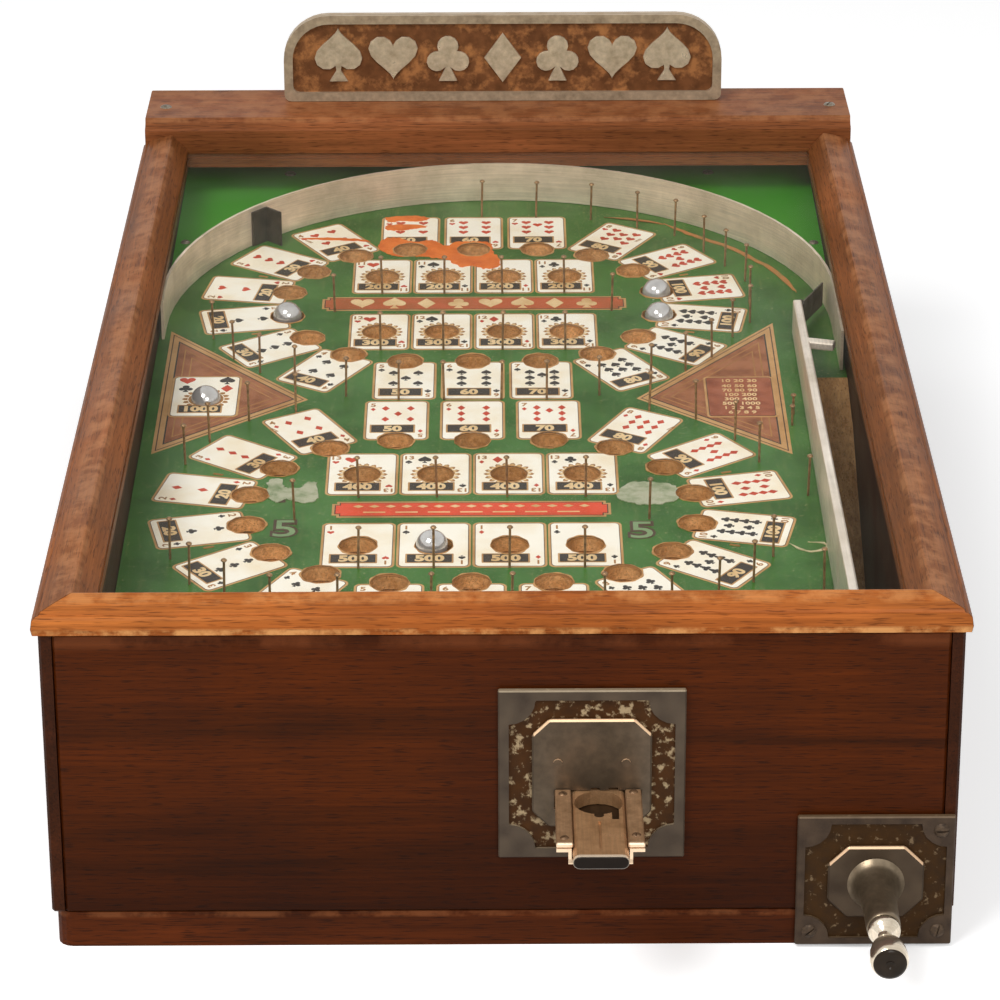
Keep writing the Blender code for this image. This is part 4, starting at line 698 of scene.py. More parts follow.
# %% Pins
back_to_field = paper.inverted()
tops = [back_to_field @ v.co for v in nodes["playfield_face"].data.vertices]
shape = bmesh.new()
pin_heights = (22.8, 12.0)
shank_radius = 0.62
most_lean = 1.3
placed = set()
for height in pin_heights:
    for top in tops:
        key = (round(top.x, 1), round(top.y, 1))
        if abs(top.z - height) < 0.05 and key not in placed:
            placed.add(key)
            profile = ((0, height), (0.8, height - 0.15), (1.35, height - 0.6), (1.55, height - 1.1),
                       (1.2, height - 1.5), (shank_radius, height - 1.7), (shank_radius, -0.5), (0, -0.5))
            lean = Matrix.Rotation(math.radians(most_lean * math.sin(7.0 * len(placed))), 4, "Y")
            turn(shape, profile, 14, Matrix.Translation((top.x, top.y, 0)) @ lean)
pins = piece("brass_pins", shape, brass, "cabinet", paper, smooth=True)
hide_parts("playfield_face")
print(len(placed), "pins")

# %% [markdown]
# ## Ink
# The playfield was printed in a few flat inks, one over the other: a tan outline, a dark line, cream,
# then red and black. Each ink is its own thin layer, a few hundredths of a millimetre above the last.
# Old ink has yellowed unevenly, and dirt has settled in it.

# %% Printed inks
def printed_ink(name, fresh, aged, roughness=0.42, patch=26.0):
    """Flat ink that has yellowed in patches (their size in mm), with grit in it."""
    made, tree, shader, where = finish(name, roughness)
    shader.inputs["Specular IOR Level"].default_value = 0.25
    cloud = add(tree, "TexNoise", {"Scale": per(patch)[0], "Detail": 6.0, "Roughness": 0.6},
                {"Vector": where})
    grit = add(tree, "TexNoise", {"Scale": per(1.2)[0], "Detail": 3.0}, {"Vector": where})
    amount = add(tree, "MapRange", {"From Min": 0.42, "From Max": 0.7}, {"Value": cloud})
    specks = add(tree, "MapRange", {"From Min": 0.66, "From Max": 0.74, "To Max": 0.5}, {"Value": grit})
    amount = add(tree, "Math", {"operation": "MAXIMUM"}, {0: amount, 1: specks})
    colour = add(tree, "Mix", {"data_type": "RGBA", 6: srgb(fresh), 7: srgb(aged)}, {0: amount})
    rough = add(tree, "MapRange", {"From Min": 0.3, "From Max": 0.7, "To Min": roughness - 0.06,
                                   "To Max": roughness + 0.12}, {"Value": cloud})
    relief = add(tree, "Bump", {"Strength": 0.15, "Distance": 0.04 * mm}, {"Height": grit})
    join(tree, shader, {"Base Color": colour, "Roughness": rough, "Normal": relief})
    return made


inks = {
    "tan": printed_ink("tan_ink", "#C79A62", "#A87A48"),
    "line": printed_ink("brown_line_ink", "#4A3420", "#3A2818"),
    "cream": printed_ink("cream_ink", "#FFF8E6", "#F6E6C6"),
    "box": printed_ink("dark_brown_ink", "#2C241C", "#3C3024"),
    "figure": printed_ink("tan_figure_ink", "#EACB98", "#C8A068"),
    "index": printed_ink("ochre_index_ink", "#B07C40", "#8E6434"),
    "red": printed_ink("vermilion_ink", "#CC4526", "#A8381E"),
    "black": printed_ink("black_ink", "#2A2420", "#3A322A"),
    "strip": printed_ink("red_strip_ink", "#B8562C", "#98582C", patch=18.0),
    "bright": printed_ink("bright_strip_ink", "#DE4C2A", "#C44A2A", patch=20.0),
    "leaf": printed_ink("pale_green_ink", "#7C9668", "#5E7A4E"),
    "russet": printed_ink("russet_panel_ink", "#A0623A", "#7A4628", patch=12.0),
    "rust": printed_ink("rust_panel_ink", "#A05634", "#7E4026", patch=12.0),
}
layers = {ink: bmesh.new() for ink in inks}
levels = {
    "tan": 0.06, "line": 0.1, "cream": 0.15, "strip": 0.15, "bright": 0.15, "russet": 0.15, "rust": 0.15,
    "red": 0.2, "black": 0.2, "index": 0.2, "leaf": 0.2, "box": 0.25, "figure": 0.3,
}


def lay(ink, outline, place=flat, lift=0.0):
    """Prints an outline in one ink."""
    prism(layers[ink], outline, -0.3, levels[ink] + lift, place)


print(len(inks), "inks")

# %% [markdown]
# ## Suits
# The four suits are traditional shapes, drawn here from circles and curves at a size of one. A curve
# gives even edges at any size, which a list of points would not.

# %% Suits
def lobes(first, last):
    """The two round lobes with a point between, which a heart and an upturned spade share."""
    points = []
    for i in range(first, last):
        a = 2 * math.pi * i / 24
        x = 16 * math.sin(a) ** 3
        y = 13 * math.cos(a) - 5 * math.cos(2 * a) - 2 * math.cos(3 * a) - math.cos(4 * a)
        points.append((x, y))
    return points


def heart():
    return [(x / 30, (y + 2.5) / 30) for x, y in lobes(0, 24)]


def spade():
    foot = [(-0.05, -0.28), (-0.2, -0.52), (0.2, -0.52), (0.05, -0.28)]
    return [(x / 31, -(y - 1.5) / 31 + 0.08) for x, y in lobes(2, 23)] + foot


def club():
    right = arc(0.24, -0.08, 0.22, -140, 75, 8)
    top = arc(0.0, 0.26, 0.23, -30, 210, 9)
    left = arc(-0.24, -0.08, 0.22, 105, 320, 8)
    return [(0.2, -0.52), (0.05, -0.2)] + right + top + left + [(-0.05, -0.2), (-0.2, -0.52)]


suits = {
    "heart": (heart(), "red"), "diamond": ([(0.0, -0.55), (0.4, 0.0), (0.0, 0.55), (-0.4, 0.0)], "red"),
    "spade": (spade(), "black"), "club": (club(), "black"),
}


def suit(name, size, place, ink=None, lift=0.0):
    """Prints a suit at a size, in its own ink or in another."""
    outline, own = suits[name]
    lay(ink or own, [(x * size, y * size) for x, y in outline], place, lift)


print(len(suits), "suits")

# %% [markdown]
# ## Numerals
# The numerals come from Blender's own plain typeface, thickened a little. Each is drawn once as a text
# object, made into a mesh one unit high, and copied to each place where it is printed.

# %% Numerals
drawn = {}


def numeral(text, height, place, ink, bold=0.02, lift=0.0):
    """Prints a number, centred, with figures of a given height."""
    key = (text, bold)
    if key not in drawn:
        curve = bpy.data.curves.new(text, "FONT")
        curve.body = text
        curve.align_x = "CENTER"
        curve.align_y = "CENTER"
        curve.resolution_u = 3
        curve.offset = bold
        curve.extrude = 0.5
        obj = bpy.data.objects.new(text, curve)
        scene.collection.objects.link(obj)
        graph = bpy.context.evaluated_depsgraph_get()
        mesh = bpy.data.meshes.new_from_object(obj.evaluated_get(graph))
        bpy.data.objects.remove(obj, do_unlink=True)
        ups = [v.co.y for v in mesh.vertices]
        middle = (max(ups) + min(ups)) / 2
        mesh.transform(Matrix.Scale(1 / (max(ups) - min(ups)), 4) @ Matrix.Translation((0, -middle, 0)))
        depths = [v.co.z for v in mesh.vertices]
        for v in mesh.vertices:
            v.co.z = 0.0 if v.co.z < (min(depths) + max(depths)) / 2 else 1.0
        drawn[key] = mesh
    mesh = drawn[key].copy()
    top = levels[ink] + lift
    widened = 1.12
    mesh.transform(place @ Matrix.Diagonal((height * widened, height, top, 1.0)))
    layers[ink].from_mesh(mesh)
    bpy.data.meshes.remove(mesh)


def at(x, y, turn_degrees=0.0):
    """A place on the playfield, turned in its plane."""
    return Matrix.Translation((x, y, 0.0)) @ Matrix.Rotation(math.radians(turn_degrees), 4, "Z")


print("numerals drawn so far:", len(drawn))

# %% [markdown]
# ## Score cards
# Each pocket has its card, with pips, small numerals in two corners and its score in a dark box. On a
# ring, the box is next to the pocket on the far half and at the other end on the near half.

# %% Score cards
card_size = (33.6, 47.4)
border = 2.3
border_and_line = 3.0
mark_inset = 4.4
rank_height = 4.0
small_pip = 3.4
pip = 5.2
large_pip = 6.6
score_height = 6.8
pip_rows = {
    2: ((0, 8.5), (0, -5)), 3: ((0, 9), (0, 1), (0, -7)), 4: ((-5.5, 8), (5.5, 8), (-5.5, -5), (5.5, -5)),
    5: ((-6.5, 8), (6.5, 8), (0, 1.5), (-6.5, -5), (6.5, -5)),
    6: ((-6.5, 8.5), (6.5, 8.5), (-6.5, 1.5), (6.5, 1.5), (-6.5, -5.5), (6.5, -5.5)),
    7: ((-6.5, 8.5), (6.5, 8.5), (0, 5), (-6.5, 1.5), (6.5, 1.5), (-6.5, -5.5), (6.5, -5.5)),
    8: ((-6.5, 8.5), (6.5, 8.5), (0, 5), (-6.5, 1.5), (6.5, 1.5), (0, -2), (-6.5, -5.5), (6.5, -5.5)),
    9: ((-6.5, 9), (6.5, 9), (-6.5, 4.2), (6.5, 4.2), (0, 1.5), (-6.5, -1), (6.5, -1), (-6.5, -6),
        (6.5, -6)),
    10: ((-6.5, 9), (6.5, 9), (0, 6.6), (-6.5, 4.2), (6.5, 4.2), (-6.5, -0.8), (6.5, -0.8), (0, -3.2),
         (-6.5, -6), (6.5, -6)),
}


def score_box(score, place, lift=0.0, width=23.4, height=9.8):
    """A dark box in a tan border, with the score in it."""
    lay("tan", rounded(width, height, 0.5), place, lift + 0.12)
    lay("box", rounded(width - 1.7, height - 1.7, 0.3), place, lift)
    numeral(str(score), score_height, place, "figure", 0.05, lift)


def card(x, y, turned, rank, name, score, box_y, pips_y, size=card_size, lift=0.0):
    """A card: its outline, dark line and cream, two corner marks, pips and the score's box."""
    place = at(x, y, turned)
    wide, tall = size
    lay("tan", rounded(wide, tall, 3.4), place, lift)
    lay("line", rounded(wide - border, tall - border, 2.5), place, lift)
    lay("cream", rounded(wide - border_and_line, tall - border_and_line, 2.2), place, lift)
    for flip in (0, 180):
        corner = place @ at(0, 0, flip)
        if rank:
            x = mark_inset - wide / 2
            numeral(str(rank), rank_height, corner @ at(x, tall / 2 - 5.4), "index", 0.03, lift)
            suit(name, small_pip, corner @ at(x, tall / 2 - 10.6), lift=lift)
    for pip_x, pip_y in pip_rows.get(rank, ()):
        suit(name, pip, place @ at(pip_x + 0.6, pip_y + pips_y), lift=lift)
    score_box(score, place @ at(-2.0, box_y), lift)


def rosette(x, y, inner, outer, points, ink, lift=0.0):
    """A ring of petals round a pocket."""
    petal = [(inner, -1.3), (outer - 1.2, -1.3), (outer, 0.0), (outer - 1.2, 1.3), (inner, 1.3)]
    for i in range(points):
        lay(ink, petal, at(x, y, 360 * i / points), lift)


print("a card is", card_size, "mm")

# %% [markdown]
# ## Cards of the ovals
# A ring's cards fan out from their pockets, each turned by its own angle. The four cards of a row
# stand straight, with the pocket in the middle, and three of the four rows have a ring of petals.

# %% Cards of the ovals
ring_reach = 23.4
middle_reach = 24.4
nearer_oval_turn = 2.5
for oval, (oval_y, wide, tall, row, pitch) in enumerate(ovals):
    for end in (1, -1):
        name = (("spade", "heart"), ("club", "diamond"))[oval][end > 0]
        box_y = -10.2 if end > 0 else -14.4
        pips_y = 6.2 if end > 0 else 1.2
        ring = [(-1, 2), (-1, 1), (-1, 0), 0, 1, 2, (1, 0), (1, 1), (1, 2)]
        for rank, spot in enumerate(ring, 2):
            if isinstance(spot, tuple):
                side, step = spot
                across, up, angle = quarter[step]
                angle -= nearer_oval_turn * oval
                turned = -side * end * angle
                reach = ring_reach * end
                x = middle_x + side * across * wide - reach * math.sin(math.radians(turned))
                y = oval_y + end * up * tall + reach * math.cos(math.radians(turned))
            else:
                turned = 0.0
                x = middle_x + (spot - 1) * middle_share * wide
                y = oval_y + end * tall + middle_reach * end
            card(x, y, turned, rank, name, rank * 10, box_y, pips_y)

courts = ((ovals[0], 1, 11, 200), (ovals[0], -1, 12, 300), (ovals[1], 1, 13, 400), (ovals[1], -1, 1, 500))
for (oval_y, wide, tall, row, pitch), end, rank, score in courts:
    for step, name in zip((-3, -1, 1, 3), ("heart", "spade", "diamond", "club")):
        x = middle_x + step * pitch / 2
        y = oval_y + end * row + 0.5
        card(x, y, 0.0, rank, name, score, -14.4, 0.0, (pitch - 0.7, 47.0 + oval))
        if rank > 1:
            suit(name, large_pip, at(x - 5.6, y + 16.0))
            rosette(x, y - 0.5, 9.6, 12.8, 18, "index")
            rosette(x, y - 0.5, 9.6, 11.4, 18, "figure")
print("cards laid,", sum(len(s.faces) for s in layers.values()), "faces of ink")

# %% [markdown]
# ## Side panels
# A triangle of plain nested bands fills each side. Each band is the same outline moved further in, laid
# a little higher than the last, so that one small function draws them all.

# %% Side panels
def shrunk(corners, by):
    """A convex outline moved in on every side."""
    lines = []
    count = len(corners)
    for i in range(count):
        a = Vector(corners[i])
        b = Vector(corners[(i + 1) % count])
        normal = Vector((-(b - a).y, (b - a).x)).normalized()
        lines.append((a + normal * by, b - a))
    result = []
    for i in range(count):
        (p, d), (q, e) = lines[i - 1], lines[i]
        t = ((q - p).x * e.y - (q - p).y * e.x) / (d.x * e.y - d.y * e.x)
        result.append(tuple(p + d * t))
    return result


bands = (
    ("tan", 0.0, 0.0), ("line", 1.6, 0.0), ("tan", 2.2, 0.08), ("box", 5.0, -0.08), ("russet", 5.8, 0.06),
    ("index", 9.0, 0.03), ("russet", 9.7, 0.1), ("index", 13.0, 0.07), ("russet", 13.7, 0.13),
)
left_panel = ((-177.5, 454.0), (-177.5, 301.5), (-100.0, 366.0))
right_panel = ((71.5, 366.0), (148.6, 298.5), (148.6, 462.0))
for corners in (left_panel, right_panel):
    for ink, inset, lift in bands:
        lay(ink, shrunk(corners, inset), lift=lift)
print("side panels laid")


# %% [markdown]
# ## Single card and panel of scores
# The left triangle carries a single card with all four suits, and the right one a panel of scores in
# rows. Both lie over their triangle, so they are lifted by 0.3 mm.

# %% Single card and panel of scores
card(-154.1, 370.0, 0.0, 0, "heart", 1000, -15.6, 0.0, (36.6, 50.4), 0.3)
for name, x, y in (("heart", -164.5, 389.0), ("spade", -143.5, 389.0),
                   ("club", -164.8, 379.5), ("diamond", -143.2, 379.5)):
    suit(name, 8.0, at(x, y), lift=0.3)
rosette(*single_pocket, 9.6, 12.6, 18, "index", 0.3)

place = at(125.9, 367.0)
lay("tan", rounded(37.0, 50.0, 2.6), place, 0.3)
lay("line", rounded(34.6, 47.6, 1.8), place, 0.3)
lay("rust", rounded(33.8, 46.8, 1.6), place, 0.3)
lay("box", rounded(31.6, 5.6, 0.4), place @ at(0.0, 19.6), 0.16)
numeral("10 20 30", 3.6, place @ at(0.0, 19.6), "figure", 0.02, 0.3)
rows = ("40 50 60", "70 80 90", "100 200", "300 400", "500 1000", "1 2 3 4 5", "6 7 8 9")
for row, text in enumerate(rows):
    numeral(text, 3.5, place @ at(0.0, 13.2 - 5.4 * row), "figure", 0.02, 0.3)


print("single card and panel laid")

# %% [markdown]
# ## Strips and dashes
# Two strips with clipped corners lie between the rows of cards, and short double dashes stand between
# the cards of each ring. The fives beside the lower strip have a dark outline and a pale green fill.

# %% Strips and dashes
def strip(x, y, width, height, notch, ink):
    """A strip with a small square taken out of each corner, and a border line inside."""
    for inset, layer in ((0.0, "tan"), (1.3, "line"), (1.9, ink)):
        w = width / 2 - inset
        h = height / 2 - inset
        n = notch
        outline = [(-w, -h + n), (-w + n, -h + n), (-w + n, -h), (w - n, -h), (w - n, -h + n), (w, -h + n),
                   (w, h - n), (w - n, h - n), (w - n, h), (-w + n, h), (-w + n, h - n), (-w, h - n)]
        lay(layer, outline, at(x, y))


strip(-13.6, 490.0, 167.0, 18.4, 2.6, "strip")
for number in range(8):
    name = ("heart", "spade", "diamond", "club")[number % 4]
    suit(name, 12.4, at(-75.0 + number * 17.6, 490.0), "figure")
strip(-14.4, 237.5, 138.0, 17.4, 2.4, "bright")
for number in range(15):
    lay("figure", [(-2.6, 0.0), (0.0, -1.5), (2.6, 0.0), (0.0, 1.5)], at(-70.4 + number * 8.0, 240.6))
    if number % 2:
        lay("figure", [(-5.5, -0.5), (5.5, -0.5), (5.5, 0.5), (-5.5, 0.5)], at(-70.4 + number * 8.0, 234.2))

# Short double dashes between the cards of each ring
dash = [(-2.6, -0.28), (2.6, -0.28), (2.6, 0.28), (-2.6, 0.28)]
for oval_y, wide, tall, row, pitch in ovals:
    for end in (1, -1):
        for side in (-1, 1):
            for angle, reach in ((44.0, 1.62), (70.0, 1.5)):
                a = math.radians(90 - side * angle)
                x = middle_x + wide * reach * math.cos(a) * 0.82
                y = oval_y + end * tall * reach * math.sin(a)
                outwards = at(x, y, math.degrees(math.atan2(end * math.sin(a), math.cos(a))))
                for offset in (-0.5, 0.5):
                    lay("index", dash, outwards @ at(0.0, offset))

for x, y in ((-105.8, 217.0), (69.2, 214.0)):
    numeral("5", 19.5, at(x, y), "line", 0.075)
    numeral("5", 17.6, at(x, y), "leaf", 0.0)
for x in (73.5, -104.0):
    numeral("10", 13.0, at(x, 252.0), "line", 0.05)
print("print laid,", sum(len(s.faces) for s in layers.values()), "faces of ink")

# %% [markdown]
# ## Ragged outlines
# Balls have worn a track inside the arch, and the paint has come away in patches, down to an orange
# ground at the back and to the grey board in front. The patches have ragged outlines from seeded
# random steps, so they come out the same each time.

# %% Ragged outlines
chance = random.Random(7)


def ragged(points, jitter=0.5, steps=7):
    """A closed outline through some points, smooth between them, with a ragged edge."""
    count = len(points)
    outline = []
    for i in range(count):
        p0, p1, p2, p3 = (Vector(points[(i + k) % count]) for k in (-1, 0, 1, 2))
        for step in range(steps):
            t = step / steps
            spot = 0.5 * (2 * p1 + (p2 - p0) * t + (2 * p0 - 5 * p1 + 4 * p2 - p3) * t * t
                          + (3 * p1 - p0 - 3 * p2 + p3) * t ** 3)
            x = spot.x + chance.uniform(-jitter, jitter)
            outline.append((x, spot.y + chance.uniform(-jitter, jitter)))
    return outline


def track(points, width, jitter=0.4):
    """A worn line with some width, as one ragged outline."""
    there = []
    back = []
    for i, (x, y) in enumerate(points):
        before = Vector(points[max(i - 1, 0)])
        after = Vector(points[min(i + 1, len(points) - 1)])
        side = Vector((-(after - before).y, (after - before).x)).normalized() * width / 2
        if i in (0, len(points) - 1):
            side *= 0.3
        there.append((x + side.x, y + side.y))
        back.append((x - side.x, y - side.y))
    return ragged(there + back[::-1], jitter, 4)


print("ragged outlines from seed 7")

# %% [markdown]
# ## The patches
# Each kind of wear is one more ink, laid last, in its own colours: the orange ground, the grey board,
# the tan track and the pale ground. Their outlines are only a few points, and the ragged edge does
# the rest.

# %% The patches
for ink, name, fresh, aged, level in (
    ("orange", "orange_ground_bared", "#E6782C", "#CC5E1E", 0.36),
    ("scraped", "grey_board_scraped", "#B2B296", "#74865C", 0.45),
    ("worn", "tan_track_worn", "#B57440", "#8E7A48", 0.33),
    ("rim", "raw_wood_rim", "#C8965E", "#8E6238", 0.4),
    ("rubbed", "cream_ground_rubbed", "#CFC09A", "#A39A74", 0.34),
):
    inks[ink] = printed_ink(name, fresh, aged, 0.6, 9.0)
    layers[ink] = bmesh.new()
    levels[ink] = level

patches = {
    "orange": (
        [(-66, 580), (-58, 583), (-48, 577), (-38, 579), (-30, 571), (-24, 576), (-12, 577), (-4, 573),
         (-3, 560), (1, 552), (0, 541), (-8, 538), (-14, 542), (-22, 541), (-28, 550), (-34, 553),
         (-44, 556), (-58, 557), (-67, 566)],
        [(-64, 613), (-50, 615), (-40, 612), (-44, 607), (-54, 608), (-62, 606)],
        [(-64, 600), (-52, 603), (-41, 600), (-50, 595), (-62, 594)],
        [(162, 484), (168, 486), (171, 480), (168, 475), (163, 478)],
    ),
    "scraped": (
        [(-116, 270), (-110, 272), (-108, 262), (-100, 262), (-96, 268), (-92, 266), (-91, 250), (-98, 245),
         (-106, 249), (-112, 246), (-116, 256)],
        [(58, 250), (63, 264), (74, 267), (86, 263), (90, 252), (82, 243), (68, 242)],
    ),
}
for ink, outlines in patches.items():
    for outline in outlines:
        lay(ink, ragged(outline, 0.8))
lay("orange", track([(-112, 582.5), (-100, 582), (-90, 581), (-80, 580), (-74, 578)], 3.2, 0.5))
lay("worn", track([(96, 601), (108, 588), (120, 577), (130, 568), (140, 555), (152, 537), (160, 518),
                   (164, 505)], 2.9))
lay("worn", track([(62, 612), (74, 610), (86, 606), (94, 602)], 1.8))
lay("rubbed", track([(141, 198), (146, 192), (152, 190), (158, 194), (157, 199), (150, 200)], 1.4, 0.3))
print("wear laid")

# %% [markdown]
# ## Rims of the pockets
# Each pocket was bored through the print, and its edge has frayed to bare wood. A rim is a flat ring,
# round on the inside and ragged on the outside by two waves that differ from pocket to pocket.

# %% Rims of the pockets
rim_steps = 40
for x, y in pockets:
    loops = []
    for inner in (True, False):
        for level in (-0.3, levels["rim"]):
            loop = []
            for i in range(rim_steps):
                a = 2 * math.pi * i / rim_steps
                ragged_edge = 0.4 + 0.4 * math.sin(2 * a + x) + 0.3 * math.sin(9 * a + y)
                reach = pocket_radius if inner else pocket_radius + 0.15 + max(ragged_edge, 0.0)
                spot = (x + reach * math.cos(a), y + reach * math.sin(a), level)
                loop.append(layers["rim"].verts.new(spot))
            loops.append(loop)
    inner_low, inner_high, outer_low, outer_high = loops
    for first, second in ((inner_low, inner_high), (inner_high, outer_high), (outer_high, outer_low),
                          (outer_low, inner_low)):
        for i in range(rim_steps):
            j = (i + 1) % rim_steps
            layers["rim"].faces.new((first[i], first[j], second[j], second[i]))
print(len(pockets), "rims")

# %% [markdown]
# ## Cutting the print
# Each ink is now one mesh of many thin solids. One set of round bars cuts the pockets out of all of
# them but the figure, index and rim inks, and whatever is left inside a pocket goes. Each ink becomes a
# piece that stays with the cabinet.

# %% Ink pieces
def left_over(face):
    """Whether a face lies within a pocket, apart from the pocket's own wall."""
    centre = face.calc_center_median()
    x, y = min(pockets, key=lambda spot: math.dist(spot, centre.xy))
    inside = all(math.dist((x, y), vert.co.xy) < pocket_radius + 0.1 for vert in face.verts)
    wall = abs(face.normal.z) < 0.1 and all(abs(vert.co.z) < 1.0 for vert in face.verts)
    return inside and not wall


for ink in inks:
    shape = layers[ink]
    if not shape.faces:
        shape.free()
        continue
    if ink not in ("figure", "index", "rim"):
        shape = cut(shape, drill(pockets, pocket_radius, -4.0, 4.0))
        shape.normal_update()
        bmesh.ops.delete(shape, geom=[face for face in shape.faces if left_over(face)], context="FACES")
    piece("print_" + ink, shape, inks[ink], "cabinet", paper)
print("ink pieces done")

# %% [markdown]
# ## Balls
# The balls are polished steel, a little dulled. A ball has to look round to its edge, so each solid
# gives way to a finer one, a sphere of small triangles with no poles to show.

# %% Balls
ball_radius = 7.94 * mm
ball_steel = worked_metal("polished_ball_steel", "#D5D3D0", "#A9A5A0", 0.12, 6.0, dents=0.02)
for name in [n for n in nodes if n.endswith("_ball") or n.startswith("pocket_ball")]:
    low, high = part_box(name)
    shape = bmesh.new()
    centre = Matrix.Translation((low + high) / 2)
    bmesh.ops.create_icosphere(shape, subdivisions=4, radius=ball_radius, matrix=centre)
    ball = piece("smooth_" + name, shape, ball_steel, "cabinet", smooth=True)
    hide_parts(name)
print("balls done")

# %% [markdown]
# ## Sleeve and knob
# Both are lathe work, so each is one profile of radius and distance, turned about the plunger's axis
# with enough segments to look round close to. The knob's front end is painted dark, a painted
# reflection in its polished dome.

# %% Sleeve and knob
plunger_axis = (167.2, 0.0, 33.5)
on_axis = Matrix.Translation(plunger_axis) @ Matrix.Rotation(math.pi / 2, 4, "X")
sleeve_profile = (
    (4.4, 399.4), (7.0, 399.4), (7.5, 398.8), (7.6, 396.0), (7.65, 388.0), (7.8, 381.0), (8.1, 375.0),
    (8.6, 370.0), (9.3, 366.0), (10.1, 363.0), (11.0, 361.2), (12.0, 360.1), (12.9, 359.1), (4.4, 359.1),
    (4.4, 399.4),
)
knob_profile = (
    (0.0, 430.5), (1.2, 430.6), (2.2, 431.5), (5.8, 431.5), (7.5, 430.3), (8.4, 428.0), (8.5, 425.2),
    (8.1, 421.0), (7.0, 416.6), (5.1, 412.8), (3.5, 410.0), (2.95, 408.0), (3.4, 406.4), (5.4, 404.6),
    (7.0, 403.0), (7.3, 401.2), (6.8, 399.9), (0.0, 399.9),
)
for name, profile, made, body, slot in (
    ("plunger_sleeve", sleeve_profile, sleeve_steel, "cabinet", "old_steel"),
    ("plunger_knob", knob_profile, knob_metal, "plunger", "chrome"),
):
    shape = bmesh.new()
    turn(shape, profile, 64, on_axis)
    turned = piece("smooth_" + name, shape, made, body, in_mm, smooth=True)
    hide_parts(name)
# Painted reflection: the front of the knob's polished dome is painted dark.
painted(knob_metal, 1, -432.0, -430.4, "#2A221A")
print("plunger turned")

# %% [markdown]
# ## Springs
# The springs are drawn again as round wire, with many points to a curl, and made into meshes. The
# plunger's spring is pressed together when the plunger is pulled; its piece gets a mesh of its own.

# %% Springs
def coil(name, node, radius, wire, curls, joint=None):
    """A spring of round wire along Y in place of its solid; given a joint, it gets a mesh of its own."""
    low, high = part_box(node)
    x = (low.x + high.x) / 2
    z = (low.z + high.z) / 2
    curve = bpy.data.curves.new(name, "CURVE")
    curve.dimensions = "3D"
    curve.bevel_depth = wire * mm
    curve.bevel_resolution = 3
    curve.use_fill_caps = True
    line = curve.splines.new("POLY")
    points_a_curl = 24
    steps = curls * points_a_curl
    line.points.add(steps)
    start = low.y + wire * mm
    length = high.y - low.y - 2 * wire * mm
    for i, point in enumerate(line.points):
        a = 2 * math.pi * i / points_a_curl
        along = start + length * i / steps
        point.co = (x + radius * mm * math.cos(a), along, z + radius * mm * math.sin(a), 1.0)
    curve.materials.append(steel_wire)
    line_of_wire = bpy.data.objects.new("line_of_wire", curve)
    obj = bpy.data.objects.new(name, bpy.data.meshes.new_from_object(line_of_wire))
    bpy.data.objects.remove(line_of_wire)
    obj.data.polygons.foreach_set("use_smooth", [True] * len(obj.data.polygons))
    scene.collection.objects.link(obj)
    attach(obj, "cabinet")
    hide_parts(node)
    if joint:
        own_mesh(obj)


coil("wound_plunger_spring", "plunger_spring", 5.6, 0.65, 10, "plunger_pull")
coil("wound_slide_spring", "slide_spring", 3.2, 0.45, 10)
coil("wound_shuttle_spring", "shuttle_spring", 3.2, 0.45, 12)
print("springs done")

# %% [markdown]
# ## Screws
# Slotted screws hold the plates, the guides, the field, the header and the hinge. One head is turned
# and slotted once, then set down at each place at its own size and turned its own way.

# %% Slotted screws
head = bmesh.new()
turn(head, ((0, 0.36), (0.5, 0.32), (0.82, 0.2), (1.0, 0.0), (1.0, -0.1), (0, -0.1)), 24)
slot_cutter = bmesh.new()
prism(slot_cutter, [(-1.2, -0.11), (1.2, -0.11), (1.2, 0.11), (-1.2, 0.11)], 0.1, 0.6)
head = cut(head, slot_cutter)
head_mesh = bpy.data.meshes.new("slotted_head")
head.to_mesh(head_mesh)
head.free()
screw_steel = worked_metal("slotted_steel_screw", "#9A8F80", "#5E5240", 0.35, 2.0)
screw_dark = worked_metal("slotted_screw_rusted", "#52402E", "#30241A", 0.5, 2.0)
screw_brown = worked_metal("slotted_screw_browned", "#8A6A4C", "#5E4630", 0.4, 2.0)
towards_front = Matrix.Rotation(math.pi / 2, 4, "X")
towards_back = Matrix.Rotation(-math.pi / 2, 4, "X")
upwards = flat


def screws(name, made, body, places, facing, base=flat):
    """Heads at (x, y, z, radius, turn of the slot) in mm, all facing one way."""
    shape = bmesh.new()
    for x, y, z, radius, slot_turn in places:
        mesh = head_mesh.copy()
        turned = facing @ Matrix.Rotation(math.radians(slot_turn), 4, "Z") @ Matrix.Scale(radius, 4)
        mesh.transform(base @ Matrix.Translation((x, y, z)) @ turned)
        shape.from_mesh(mesh)
        bpy.data.meshes.remove(mesh)
    piece(name, shape, made, body, in_mm, smooth=True)


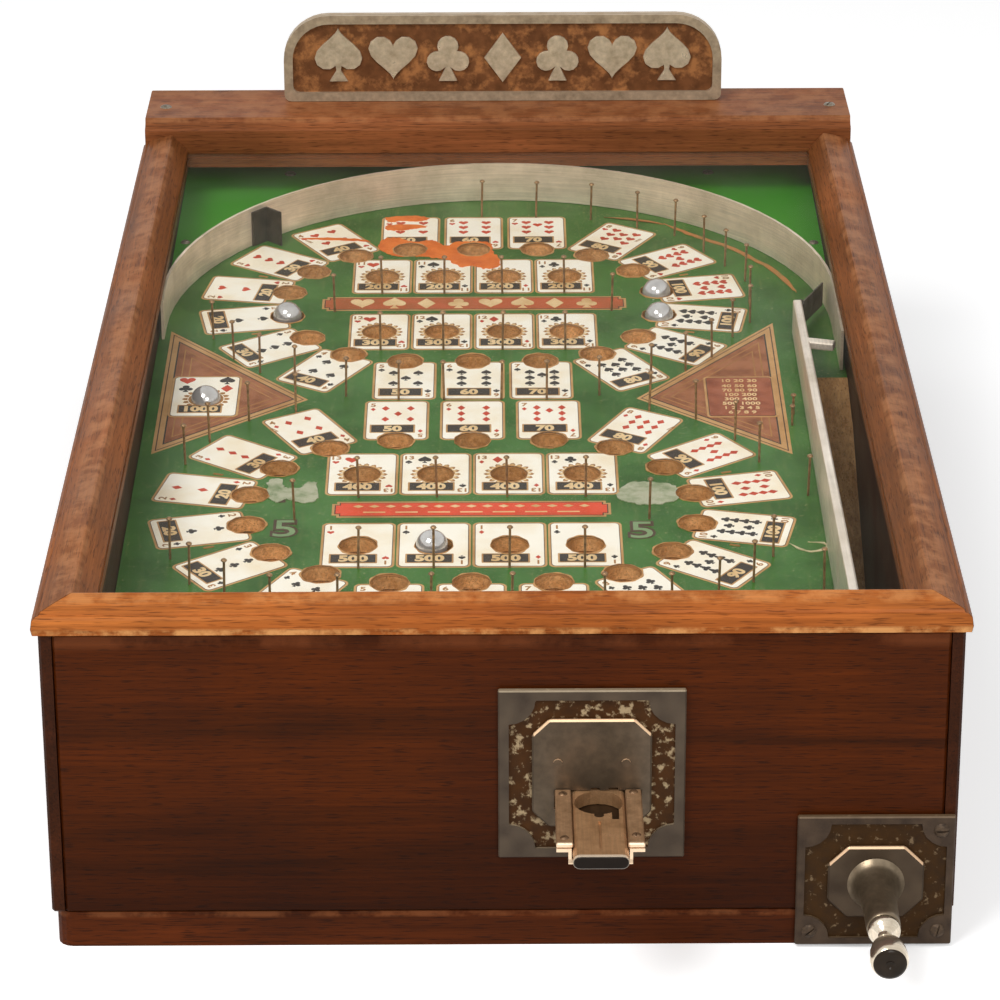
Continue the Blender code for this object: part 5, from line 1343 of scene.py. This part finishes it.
screws("field_screws", screw_steel, "cabinet",
       ((-122.6, 681.0, 0.1, 3.4, 20), (124.0, 681.0, 0.1, 3.4, 70), (-178.0, 578.0, 0.1, 2.8, 45),
        (179.0, 574.0, 0.1, 2.8, 100)), upwards, field)
screws("plunger_plate_screws", screw_dark, "cabinet",
       ((195.9, -357.6, 59.6, 3.6, 2), (138.0, -357.6, 8.6, 3.4, 40), (195.8, -357.6, 8.6, 3.4, 75)),
       towards_front)
screws("guide_screws", screw_brown, "cabinet",
       ((26.7, -404.5, 82.05, 2.0, 30), (58.0, -402.0, 82.05, 2.0, 80), (26.7, -363.5, 82.05, 2.0, 120),
        (58.0, -361.8, 82.05, 2.0, 10)), upwards)
screws("back_board_screws", screw_steel, "lid",
       ((-194.0, 318.0, 178.3, 3.4, 25), (194.0, 318.0, 178.3, 3.4, 60)), upwards)
screws("header_lug_screws", screw_steel, "lid",
       ((-82.0, 339.0, 182.6, 3.0, 30), (88.0, 339.0, 182.6, 3.0, 75)), upwards)
screws("hinge_screws_lower", screw_steel, "cabinet",
       [(-120.0 + 60.0 * i, 355.7, 147.0, 2.2, 35 * i) for i in range(5)], towards_back)
screws("hinge_screws_upper", screw_steel, "lid",
       [(-120.0 + 60.0 * i, 355.7, 166.3, 2.2, 50 * i) for i in range(5)], towards_back)
print("screws set")

# %% [markdown]
# ## Relief on the header
# The header plate is cast with raised forms in its recess. They are the four suits, in a row, with
# their edges softened by the mould and rubbed bright on top.

# %% Header relief
header = Matrix.Translation((3.0, 328.95, 204.6)) @ towards_front
form_size = 27.0
form_pitch = 32.0
shape = bmesh.new()
for number, name in enumerate(("spade", "heart", "club", "diamond", "club", "heart", "spade")):
    outline = [(x * form_size, y * form_size) for x, y in suits[name][0]]
    prism(shape, outline, -0.2, 1.7, header @ Matrix.Translation((form_pitch * (number - 3), 0.0, 0.0)))
relief_piece = piece("header_relief", shape, relief_metal, "lid", in_mm, smooth=True)
soft = relief_piece.modifiers.new("cast edges", "BEVEL")
soft.width = 0.7 * mm
soft.segments = 2
soft.limit_method = "ANGLE"
print("relief", [round(v, 4) for v in relief_piece.dimensions])

# %% [markdown]
# At the end the scene is brought up to date.

# %% Bringing the scene up to date
bpy.context.view_layer.update()
